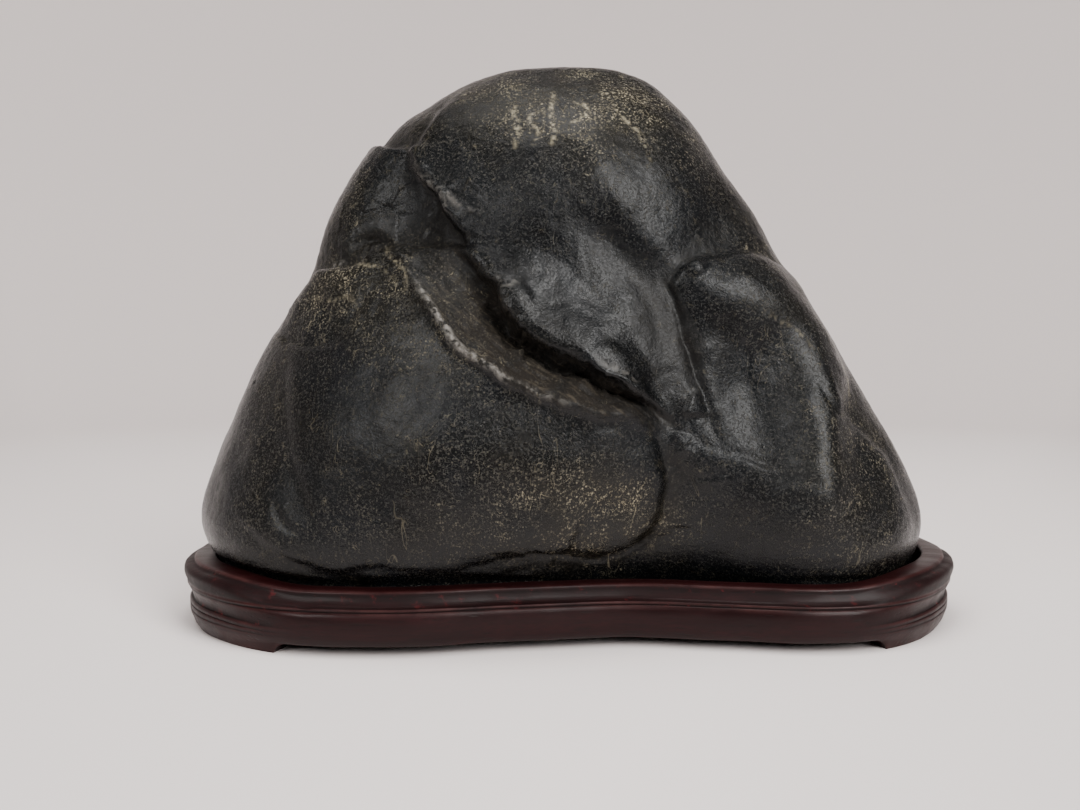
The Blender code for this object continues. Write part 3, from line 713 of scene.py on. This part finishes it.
def makeStone():
    look = stoneFinish
    noise.seed_set(look["seed"])
    bm = stoneBall()
    directions = np.array([vert.co for vert in bm.verts])
    triangles = np.array([[vert.index for vert in face.verts] for face in bm.faces])
    points = baseShape(directions)
    points = raised(points, triangles, flankForms(points))
    points = pushed(points, triangles, broadForms)
    before = points
    points = pushed(points, triangles, sharpForms, look["wander"])
    moved = np.einsum("ij,ij->i", points - before, normalsOf(before, triangles))
    points = eased(bm, points, np.abs(moved) > look["easeFrom"], look["easeBy"])
    points = raised(points, triangles, waves(points, stoneForm["waves"]))
    x, z = wandered(points, look["wander"])
    facing = softStep(-normalsOf(before, triangles)[:, 1], 0.0, 0.4)
    acrossRift, inRift = riftAt(x, z, facing)
    broken = brokenAt(x, z, facing, acrossRift, inRift)
    points = chipped(points, triangles, broken, *look["chip"])
    points = chipped(points, triangles, patchesAt(x, z, facetPatches) * facing, *look["facet"])
    # worn layers along the slope of the rift
    drift, driftLength = look["layerDrift"]
    layers = np.sin(acrossRift * 2 * math.pi * look["layers"] + drift * waves(points, [(1, driftLength)]))
    points = raised(points, triangles, look["layerHeight"] * layers * inRift * (1 - broken))
    points = pushed(points, triangles, cracks, look["wander"])
    # pits and grain
    fine = look["pitDepth"] * pits(points, look["pitSpacing"], look["pitShare"])
    points = raised(points, triangles, fine + waves(points, [look["grain"]]))
    placed(bm, keptInSeat(points))
    piece = newObject("stoneSkin", bm)
    keepValues(piece.data, "hollow", np.clip(-moved / look["hollowDepth"], 0, 1))
    keepValues(piece.data, "slope", inRift)
    keepValues(piece.data, "broken", broken)
    inScoop = band(x, z, riftBrow, scoopArc[::-1], [(0, 1), (.8, 1), (1, .6)])
    keepValues(piece.data, "polished", inScoop * facing)
    # painted highlight: pale lines on the lip of the rift, a few ridges and the corners of the scoop
    keepValues(piece.data, "lip", linesAt(x, z, paintedHighlightLines, look["paintedHighlightWidth"]) * facing)
    keepValues(piece.data, "vein", linesAt(x, z, creamVeins, look["veinWidth"]) * facing)
    flecks = patchesAt(x, z, fleckPatches) * (1 - 0.5 * inRift)
    keepValues(piece.data, "flecks", np.clip(flecks, 0, 1))
    return piece


stoneSkin = makeStone()
print("stone shaped:", len(stoneSkin.data.polygons), "faces")


# the moulding from the recess floor over the lip to the underside, one row a line:
# inset and height on the long sides, inset and height at the ends, worn edge, painted shade in the grooves
standProfile = [
    (12.3, 8.7, 12.3, 8.7, 0, 1),
    (12.0, 14.0, 12.0, 15.0, 0, .7),
    (12.0, 20.6, 12.0, 24.0, 0, .3),
    (11.7, 21.4, 11.7, 24.9, .3, 0),
    (11.1, 21.9, 11.1, 25.4, .6, 0),
    (10.2, 22.0, 10.2, 25.5, .3, 0),
    (7.6, 21.95, 7.2, 25.35, 0, 0),
    (5.6, 21.75, 4.9, 25.1, .2, 0),
    (4.95, 21.5, 4.2, 24.85, .9, 0),
    (4.55, 21.1, 3.8, 24.4, .8, 0),
    (4.45, 20.6, 3.65, 23.9, 0, .5),
    (4.45, 20.1, 3.4, 23.55, 0, .9),
    (4.25, 19.4, 2.3, 23.4, 0, .7),
    (3.95, 18.6, 1.1, 22.95, 0, .5),
    (3.5, 17.8, .35, 22.2, 0, .4),
    (3.0, 17.2, .05, 21.3, 0, .4),
    (2.45, 16.75, .0, 20.4, .1, .5),
    (1.9, 16.5, .25, 19.3, 0, .8),
    (1.5, 16.4, .75, 18.0, .2, .9),
    (1.2, 16.3, 1.25, 17.0, .8, 0),
    (1.0, 16.05, 1.1, 16.6, 1, 0),
    (.95, 15.75, 1.0, 16.2, .7, 0),
    (1.15, 15.45, 1.2, 15.8, 0, .9),
    (1.2, 15.2, 1.6, 15.4, 0, 1),
    (.75, 14.95, 1.6, 14.95, .8, 0),
    (.4, 14.4, 1.9, 14.3, .4, 0),
    (.15, 13.4, 2.4, 13.3, 0, 0),
    (.0, 11.4, 2.85, 12.1, 0, .2),
    (.0, 9.9, 3.0, 11.0, 0, .9),
    (.0, 9.3, 2.9, 10.6, 0, 1),
    (.05, 8.8, 2.2, 10.35, .9, 0),
    (.1, 8.3, 1.9, 9.8, .5, 0),
    (.2, 7.8, 1.95, 9.0, 0, .5),
    (.25, 7.4, 2.25, 8.7, 0, 1),
    (.3, 7.1, 1.9, 8.35, .7, 0),
    (.4, 6.5, 1.9, 7.3, 0, .2),
    (.5, 6.1, 2.15, 6.6, 0, 1),
    (.6, 5.8, 1.95, 6.3, .6, 0),
    (.8, 5.4, 2.1, 5.4, 0, .1),
]
# the last rows before the feet, which the arched apron cuts into
underProfile = [(1.0, 4.9, 2.5, 4.4), (1.4, 4.3, 3.3, 2.2), (1.7, 3.9, 4.1, .7)]

standCarving = {
    "plainFrom": 27,            # from this row down the long sides are plain
    "apronEdge": (0.9, 0.35),   # how far the under rows stay above the apron: the first, less for each next
    "footInset": (2.0, 4.6),    # under edge on the long sides and at the ends
    "footEdge": 0.8, "footTurn": 2.0,
    "drift": [(0.22, 24), (0.10, 7)],    # height and length of the carver's unevenness
    "nick": (-91, 16), "nickReach": (1.6, 0.9), "nickDepth": 0.8,    # a nick in the front bead
    "sharpAngle": 50,
}


def makeStand():
    form, carving = standForm, standCarving
    stations = standStations()
    x = stations[:, 0]
    end = softStep(np.abs(x), form["endStart"], form["endStart"] + form["endBlend"])
    pastTip = np.where(x < 0, x - form["footTips"][0], form["footTips"][1] - x)
    lift = np.clip(pastTip / form["footCurve"], 0, 1)
    foot = form["apronHeight"] * np.sqrt(1 - (1 - lift)**2)

    def between(side, tip):
        return side + (tip - side) * end

    # grooves and edges of the ends fade into the plain face of the long sides
    fade = np.clip(end * 3, 0, 1)
    flat = np.zeros(len(x))
    rows = []
    for number, (sideIn, sideUp, tipIn, tipUp, edge, groove) in enumerate(standProfile):
        shown = fade if number >= carving["plainFrom"] else flat + 1
        rows.append((between(sideIn, tipIn), between(sideUp, tipUp), edge * shown, groove * shown))
    for number, (sideIn, sideUp, tipIn, tipUp) in enumerate(underProfile):
        low = foot + carving["apronEdge"][0] - carving["apronEdge"][1] * number
        rows.append((between(sideIn, tipIn), np.maximum(between(sideUp, tipUp), low), 0.4 * fade, flat))
    bottom = between(*carving["footInset"])
    # under edge, foot band and underside; the last value is painted shade, strongest on the underside
    rows += [
        (bottom, foot, flat + 1, flat),
        (bottom + carving["footEdge"], foot, flat, flat),
        (bottom + form["footBand"] - carving["footTurn"], foot, flat, flat + 0.3),
        (bottom + form["footBand"], flat + form["hollowHeight"], flat, flat + 1),
    ]
    bm = bmesh.new()
    station = bm.verts.layers.int.new("station")
    edgeLayer = bm.verts.layers.float.new("worn")
    # painted shade in the grooves, under the lip and underneath
    grooveShadeLayer = bm.verts.layers.float.new("dirt")
    ring = bmesh.ops.create_circle(bm, segments=len(stations), radius=1)["verts"]
    for index, vert in enumerate(ring):
        vert[station] = index
    edges = list(bm.edges)
    for number, (inset, height, worn, dirt) in enumerate(rows):
        if number:
            grown = bmesh.ops.extrude_edge_only(bm, edges=edges)["geom"]
            ring = {part for part in grown if isinstance(part, bmesh.types.BMVert)}
            edges = [part for part in grown if isinstance(part, bmesh.types.BMEdge)]
            edges = [edge for edge in edges if all(v in ring for v in edge.verts)]
        places = insetFrom(stations, inset)
        for vert in ring:
            index = vert[station]
            vert.co = (places[index][0] * mm, places[index][1] * mm, float(height[index]) * mm)
            vert[edgeLayer] = float(worn[index])
            vert[grooveShadeLayer] = float(dirt[index])
    rims = [edge for edge in bm.edges if edge.is_boundary]
    bmesh.ops.edgeloop_fill(bm, edges=rims)
    bmesh.ops.recalc_face_normals(bm, faces=bm.faces)
    # the carver's hand: faces that aren't quite true, and a nick in the bead
    (nickX, nickZ), (nickWide, nickHigh) = carving["nick"], carving["nickReach"]
    for vert in bm.verts:
        place = vert.co / mm
        if place.z > 1:
            drift = sum(high * noise.noise(place / length) for high, length in carving["drift"])
            if place.y < 0:
                nick = math.exp(-((place.x - nickX) / nickWide)**2 - ((place.z - nickZ) / nickHigh)**2)
                drift -= carving["nickDepth"] * nick
            vert.co += vert.normal * drift * mm
    piece = newObject("carvedStand", bm)
    piece.data.set_sharp_from_angle(angle=math.radians(carving["sharpAngle"]))
    return piece


carvedStand = makeStand()
print("stand shaped:", len(carvedStand.data.polygons), "faces")


# a value, vector or colour in a node tree; what is done to it is done by new nodes
class Value:
    def __init__(self, socket):
        self.socket = socket

    def into(self, kind, inputs, output=0, **settings):
        return Value(addNode(self.socket.id_data, kind, inputs, **settings).outputs[output])

    def maths(self, operation, other=0.0, clamp=False):
        return self.into("ShaderNodeMath", {0: self, 1: other}, operation=operation, use_clamp=clamp)

    def __add__(self, other):
        return self.maths("ADD", other)

    def __sub__(self, other):
        return self.maths("SUBTRACT", other)

    def __mul__(self, other):
        return self.maths("MULTIPLY", other)

    def range(self, low, high, toLow=0.0, toHigh=1.0):
        limits = {"From Min": low, "From Max": high, "To Min": toLow, "To Max": toHigh}
        return self.into("ShaderNodeMapRange", {"Value": self, **limits})

    def noise(self, scale, detail=2.0, roughness=0.5, distortion=0.0):
        return self.into("ShaderNodeTexNoise", {"Vector": self, "Scale": scale, "Detail": detail,
                                                "Roughness": roughness, "Distortion": distortion}, "Fac")

    def mapped(self, part, amount):
        return self.into("ShaderNodeMapping", {"Vector": self, part: amount})

    def attribute(self, name):
        return self.into("ShaderNodeAttribute", {}, "Fac", attribute_name=name)


def fill(socket, value):
    if isinstance(value, Value):
        socket.id_data.links.new(value.socket, socket)
    elif socket.type == "RGBA":
        socket.default_value = (*value, 1)
    else:
        socket.default_value = value


def addNode(tree, kind, inputs, **settings):
    node = tree.nodes.new(kind)
    for name, value in settings.items():
        setattr(node, name, value)
    for name, value in inputs.items():
        fill(node.inputs[name], value)
    return node


def colourMix(factor, a, b):
    return factor.into("ShaderNodeMix", {0: factor, 6: a, 7: b}, 2, data_type="RGBA")


# a node group that takes a vector and plain values
def newGroup(name, values, outputs):
    group = bpy.data.node_groups.new(name, "ShaderNodeTree")
    group.interface.new_socket("Vector", in_out="INPUT", socket_type="NodeSocketVector")
    for label, value in values.items():
        socket = group.interface.new_socket(label, in_out="INPUT", socket_type="NodeSocketFloat")
        socket.default_value = value
    for label in outputs:
        group.interface.new_socket(label, in_out="OUTPUT", socket_type="NodeSocketFloat")
    start = group.nodes.new("NodeGroupInput").outputs
    given = [Value(start[label]) for label in ("Vector", *values)]
    return group, given, group.nodes.new("NodeGroupOutput").inputs


# cloudy tone, fine grain and scattered specks, for any natural surface
def makeNaturalGrain():
    values = {"Cloud Scale": 40.0, "Grain Scale": 900.0, "Speck Scale": 700.0, "Speck Share": 0.3}
    group, given, ends = newGroup("natural grain", values, ("Cloud", "Grain", "Specks"))
    vector, cloudScale, grainScale, speckScale, speckShare = given
    fill(ends["Cloud"], vector.noise(cloudScale, 5.0, 0.62, 0.6).range(0.34, 0.66))
    fill(ends["Grain"], vector.noise(grainScale, 3.0, 0.65).range(0.28, 0.72))
    cells = addNode(group, "ShaderNodeTexVoronoi", {"Vector": vector, "Scale": speckScale}).outputs
    dot = Value(cells["Distance"]).range(0.38, 0.2)
    picked = vector.into("ShaderNodeSeparateColor", {"Color": Value(cells["Color"])})
    fill(ends["Specks"], dot * picked.maths("LESS_THAN", speckShare))
    return group


# thin wandering lines, broken into short pieces
def makeFineLines():
    values = {"Scale": 200.0, "Width": 0.02, "Share": 0.5}
    group, (vector, scale, width, share), ends = newGroup("fine lines", values, ("Lines",))
    away = (vector.noise(scale, 2.0, 0.6, 0.8) - 0.5).maths("ABSOLUTE")
    gate = vector.noise(scale * 0.7, 1.0) - share.range(0.0, 1.0, 0.75, 0.3)
    shown = gate.maths("MULTIPLY", 14.0, clamp=True)
    fill(ends["Lines"], away.range(0.0, width, 1.0, 0.0) * shown)
    return group


naturalGrain = makeNaturalGrain()
fineLines = makeFineLines()


def groupNode(group, *values):
    node = addNode(values[0].socket.id_data, "ShaderNodeGroup", {}, node_tree=group)
    for socket, value in zip(node.inputs, values):
        fill(socket, value)
    return [Value(socket) for socket in node.outputs]


def newMaterial(name, plain):
    material = bpy.data.materials.new(name)
    material.use_nodes = True
    tree = material.node_tree
    shader = tree.nodes["Principled BSDF"].inputs
    for label, value in plain.items():
        fill(shader[label], value)
    return material, shader, Value(addNode(tree, "ShaderNodeTexCoord", {}).outputs["Object"])


def bumpOf(height, look):
    inputs = {"Height": height, "Strength": look["bump"], "Distance": look["bumpDepth"]}
    return height.into("ShaderNodeBump", inputs, "Normal")


stoneLook = {
    "black": (0.0012, 0.0012, 0.0012),
    "blueGrey": (0.0038, 0.0047, 0.0060),
    "olive": (0.0135, 0.0108, 0.0055),
    "brown": (0.0082, 0.0060, 0.0042),
    "layer": (0.045, 0.036, 0.025),
    "grain": (0.105, 0.094, 0.072),
    "fleck": (0.42, 0.365, 0.25),
    # painted highlight colour of the lines on the lip, the ridges and the scoop corners
    "lip": (0.22, 0.205, 0.185),
    # features per metre of cloud, grain and specks, and the share of specks
    "pattern": (34.0, 1100.0, 950.0, 0.24),
    # noises: features per metre, detail, roughness
    "oliveNoise": (45.0, 4.0, 0.6), "dirtNoise": (130.0, 4.0), "layerNoise": (480.0, 4.0, 0.65),
    "fleckNoise": (60.0, 3.0, 0.6), "mottleNoise": (980.0, 4.0, 0.85), "lumpNoise": (260.0, 3.0, 0.55),
    "lipNoise": (420.0, 3.0), "veinNoise": (600.0, 3.0), "crumbScale": 420.0,
    "oliveAmount": 0.6, "layerAmount": 0.75, "veinAmount": 0.9,
    "hollowDirt": 0.5, "bareSpecks": 0.13, "fleckDust": 0.7,
    "lipTurn": (0.0, -0.7, 0.0), "layerStretch": (0.12, 0.6, 1.0),
    # fine lines: features per metre, width, share
    "scratches": (330.0, 0.016, 0.36),
    "thinVeins": (170.0, 0.007, 0.34), "veinStretch": (1.0, 1.0, 0.2),
    "markAmount": (0.1, 0.9),   # of the lines, away from the flecks and among them
    # the scoop is polished: how much of the specks, of the roughness and of the relief it loses
    "scoopBare": 0.75, "scoopShine": 0.1, "scoopSmooth": 0.1,
    "roughness": (0.185, 0.275), "speckDull": 0.1, "crevice": 0.85,
    "bump": 0.74, "bumpDepth": 0.00028,
    "relief": {"grain": 0.5, "specks": 0.25, "lumps": 0.9, "crumbs": 3.0, "marks": -0.8, "layers": 4.0},
    "plain": {"Specular IOR Level": 0.24, "Coat Weight": 0.04, "Coat Roughness": 0.2},
}


def stoneMaterial():
    look = stoneLook
    material, shader, place = newMaterial("waxed black stone", look["plain"])
    cloud, fine, specks = groupNode(naturalGrain, place, *look["pattern"])
    hollow, slope, broken, polished, flecks, lip, vein = (
        place.attribute(name) for name in ("hollow", "slope", "broken", "polished", "flecks", "lip", "vein"))
    # black and blue-grey clouds, olive where the flecks gather and brown where dirt does
    colour = colourMix(cloud, look["black"], look["blueGrey"])
    warm = flecks * place.noise(*look["oliveNoise"]).range(0.35, 0.65)
    colour = colourMix(warm * look["oliveAmount"], colour, look["olive"])
    dirt = (hollow * look["hollowDirt"]).maths("ADD", slope, clamp=True)
    patchy = place.noise(*look["dirtNoise"]).range(0.25, 0.5)
    colour = colourMix(dirt * patchy, colour, look["brown"])
    # worn layers inside the rift, drawn out along its lip
    drawn = place.mapped("Rotation", look["lipTurn"]).mapped("Scale", look["layerStretch"])
    layered = drawn.noise(*look["layerNoise"])
    colour = colourMix(slope * layered.range(0.52, 0.68, 0.0, look["layerAmount"]), colour, look["layer"])
    # fine pale grain all over, stronger where the flecks gather
    fleckMask = flecks * place.noise(*look["fleckNoise"]).range(0.35, 0.62)
    bare = polished * -look["scoopBare"] + 1.0
    specks = specks.maths("MAXIMUM", place.noise(*look["mottleNoise"]).range(0.53, 0.66))
    speckShare = fleckMask.range(0.0, 1.0, look["bareSpecks"], 1.0) * bare
    dust = colourMix(fleckMask * look["fleckDust"], look["grain"], look["fleck"])
    colour = colourMix(specks * speckShare, colour, dust)
    # scratches every way and thin veins mostly upright
    scratches, = groupNode(fineLines, place, *look["scratches"])
    thinVeins, = groupNode(fineLines, place.mapped("Scale", look["veinStretch"]), *look["thinVeins"])
    markShare = fleckMask.range(0.0, 1.0, *look["markAmount"]) * bare
    marks = scratches.maths("MAXIMUM", thinVeins) * markShare
    colour = colourMix(marks, colour, look["fleck"])
    # painted highlight along the lip of the rift, on a few ridges and at the corners of the scoop, and the
    # cream veins
    paintedHighlight = lip * place.noise(*look["lipNoise"]).range(0.42, 0.6)
    colour = colourMix(paintedHighlight, colour, look["lip"])
    ragged = vein * place.noise(*look["veinNoise"]).range(0.42, 0.6, 0.0, look["veinAmount"])
    colour = colourMix(ragged, colour, look["fleck"])
    fill(shader["Base Color"], colour)
    # smoother where the clouds are light and in the scoop, dull in the crevices
    low, high = look["roughness"]
    rough = cloud.range(0.0, 1.0, high, low) + specks * look["speckDull"] - polished * look["scoopShine"]
    fill(shader["Roughness"], rough.maths("ADD", dirt * (look["crevice"] - high), clamp=True))
    # relief finer than the mesh
    high = look["relief"]
    lumps = place.noise(*look["lumpNoise"])
    crumbs = place.into("ShaderNodeTexVoronoi", {"Vector": place, "Scale": look["crumbScale"]}, "Distance")
    height = (fine * high["grain"] + specks * high["specks"] + lumps * high["lumps"]
              + crumbs * broken * high["crumbs"] + marks * high["marks"] + layered * slope * high["layers"])
    height = height * (polished * -look["scoopSmooth"] + 1.0)
    fill(shader["Normal"], bumpOf(height, look))
    return material


woodLook = {
    "dark": (0.0072, 0.0011, 0.0013),
    "red": (0.0175, 0.0023, 0.0029),
    "worn": (0.036, 0.0115, 0.011),
    # dark of the pores, and painted shade in the grooves, under the lip and underneath
    "groove": (0.0040, 0.0020, 0.0020),
    "pigment": (0.11, 0.009, 0.011),
    # features per metre of cloud, grain and pores, and the share of pores
    "pattern": (160.0, 1500.0, 900.0, 0.3), "grainStretch": (0.06, 1.0, 1.0),    # the grain runs along X
    "poreDark": 0.5, "patchNoise": (90.0, 4.0, 0.6),
    "traceNoise": (210.0, 4.0, 0.7), "traceAmount": 0.55,
    "roughness": (0.34, 0.50), "grooveDull": 0.25,
    "bump": 0.35, "bumpDepth": 0.00015, "grainHeight": 0.5, "poreDepth": 0.8,
    "plain": {"Specular IOR Level": 0.16, "Coat Weight": 0.06, "Coat Roughness": 0.2},
}


def woodMaterial():
    look = woodLook
    material, shader, place = newMaterial("dark red lacquered hardwood", look["plain"])
    along = place.mapped("Scale", look["grainStretch"])
    cloud, fine, pores = groupNode(naturalGrain, along, *look["pattern"])
    worn, dirt = place.attribute("worn"), place.attribute("dirt")
    colour = colourMix(cloud * fine, look["dark"], look["red"])
    colour = colourMix(pores * look["poreDark"], colour, look["groove"])
    patchy = place.noise(*look["patchNoise"])
    colour = colourMix(worn * patchy.range(0.32, 0.62), colour, look["worn"])
    # painted shade: darker in the grooves, under the lip and underneath
    colour = colourMix(dirt * patchy.range(0.7, 0.35, 0.35, 0.95), colour, look["groove"])
    # a few red traces left in the grooves
    traces = place.noise(*look["traceNoise"]).range(0.60, 0.70) * dirt
    colour = colourMix(traces * look["traceAmount"], colour, look["pigment"])
    fill(shader["Base Color"], colour)
    rough = cloud.range(0.0, 1.0, *look["roughness"])
    fill(shader["Roughness"], rough.maths("ADD", dirt * look["grooveDull"], clamp=True))
    height = fine * look["grainHeight"] - pores * look["poreDepth"]
    fill(shader["Normal"], bumpOf(height, look))
    return material


stoneSkin.data.materials.append(stoneMaterial())
carvedStand.data.materials.append(woodMaterial())
for piece, node in ((stoneSkin, "stone"), (carvedStand, "stand")):
    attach(piece, "root")
    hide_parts(node)
print("finishes made and pieces placed")


warmWhite = (1.0, 0.985, 0.965)
studio = {
    "floorRadius": 1.0, "footRadius": 0.7, "footSteps": 12, "wallHeight": 2.6, "turns": 96,
    "paper": (0.815, 0.75, 0.735),
    "shadeGrey": (0.06, 0.06, 0.064),
    "greyFrom": (-0.19, -0.32),    # painted shade: the floor before the stone turns grey between these along Y
    "sideSpread": 0.6, "sideFrom": (0.1, 0.9),    # and so do the sides, past a line that opens backwards
    "sideShade": {1.0: 0.85, -1.0: 0.55},    # how grey they get, right and left
    "plain": {"Roughness": 0.85, "Specular IOR Level": 0.2},
    "world": (0.80, 0.80, 0.83), "worldStrength": 0.02,
    "lens": 35.0, "sensor": 36.0, "camera": (-0.012, -0.416, 0.106), "tilt": 86.46,
    # soft lights: place, aim, size, power, colour
    "lights": {
        "overhead softbox": ((-0.05, 0.0, 1.6), (0, 0.1, 0.1), (1.3, 0.8), 5.5, warmWhite),
        "right panel": ((0.69, -0.95, 0.80), (0, 0, 0.1), (0.6, 1.0), 25.0, warmWhite),
        "left panel": ((-0.75, -1.03, 0.69), (0, 0, 0.1), (0.5, 0.5), 8.0, warmWhite),
        "overhead fill": ((-0.05, -0.2, 1.62), (0, 0.25, 0.1), (2.2, 1.3), 31.0, warmWhite),
        "ceiling lamp": ((0.0, -0.1, 1.45), (0, 0, 0.1), (0.28, 0.28), 2.5, (1.0, 0.97, 0.94)),
    },
    "noReflection": "overhead fill",
}


# pale paper with painted shade: grey before the stone and at the sides, out of the frame, so that the polish
# has dark to mirror
def paperMaterial():
    look = studio
    material, shader, place = newMaterial("pale paper with painted shade", look["plain"])
    across, back = (place.into("ShaderNodeSeparateXYZ", {"Vector": place}, axis) for axis in "XY")
    shade = back.range(*look["greyFrom"])
    for way, amount in look["sideShade"].items():
        past = across * way - back * look["sideSpread"]
        shade = shade.maths("MAXIMUM", past.range(*look["sideFrom"], 0.0, amount))
    fill(shader["Base Color"], colourMix(shade, look["paper"], look["shadeGrey"]))
    return material


# a pale round bowl: floor, rounded foot and wall in one sweep
def makeBowl():
    look = studio
    bm = bmesh.new()
    places = [(0.0, 0.0), (0.3, 0.0), (0.6, 0.0), (look["floorRadius"], 0.0)]
    for step in range(1, look["footSteps"] + 1):
        angle = math.radians(90 * step / look["footSteps"])
        places.append((look["floorRadius"] + look["footRadius"] * math.sin(angle),
                       look["footRadius"] * (1 - math.cos(angle))))
    places.append((look["floorRadius"] + look["footRadius"], look["wallHeight"]))
    verts = [bm.verts.new((out, 0, up)) for out, up in places]
    edges = [bm.edges.new(pair) for pair in zip(verts[:-1], verts[1:])]
    bmesh.ops.spin(bm, geom=verts + edges, cent=(0, 0, 0), axis=(0, 0, 1), angle=2 * math.pi,
                   steps=look["turns"], use_merge=True)
    bmesh.ops.remove_doubles(bm, verts=bm.verts, dist=0.00001)
    bmesh.ops.recalc_face_normals(bm, faces=bm.faces)
    bmesh.ops.reverse_faces(bm, faces=bm.faces)
    bowl = newObject("paperBowl", bm)
    bowl.data.materials.append(paperMaterial())


def addSoftLight(name, place, aim, size, power, colour):
    data = bpy.data.lights.new(name, "AREA")
    data.shape = "RECTANGLE"
    data.size, data.size_y = size
    data.energy = power
    data.color = colour
    light = bpy.data.objects.new(name, data)
    light.location = place
    light.rotation_euler = (Vector(aim) - Vector(place)).to_track_quat("-Z", "Y").to_euler()
    light.visible_glossy = name != studio["noReflection"]
    bpy.context.scene.collection.objects.link(light)


makeBowl()
for name, values in studio["lights"].items():
    addSoftLight(name, *values)
world = bpy.data.worlds.new("soft room")
bpy.context.scene.world = world
world.use_nodes = True
background = world.node_tree.nodes["Background"]
background.inputs["Color"].default_value = (*studio["world"], 1)
background.inputs["Strength"].default_value = studio["worldStrength"]

cameraData = bpy.data.cameras.new("camera")
cameraData.lens = studio["lens"]
cameraData.sensor_width = studio["sensor"]
cameraData.clip_start = 0.01
camera = bpy.data.objects.new("camera", cameraData)
camera.location = studio["camera"]
camera.rotation_euler = (math.radians(studio["tilt"]), 0, 0)
bpy.context.scene.collection.objects.link(camera)
bpy.context.scene.camera = camera
print("studio, light and camera set")
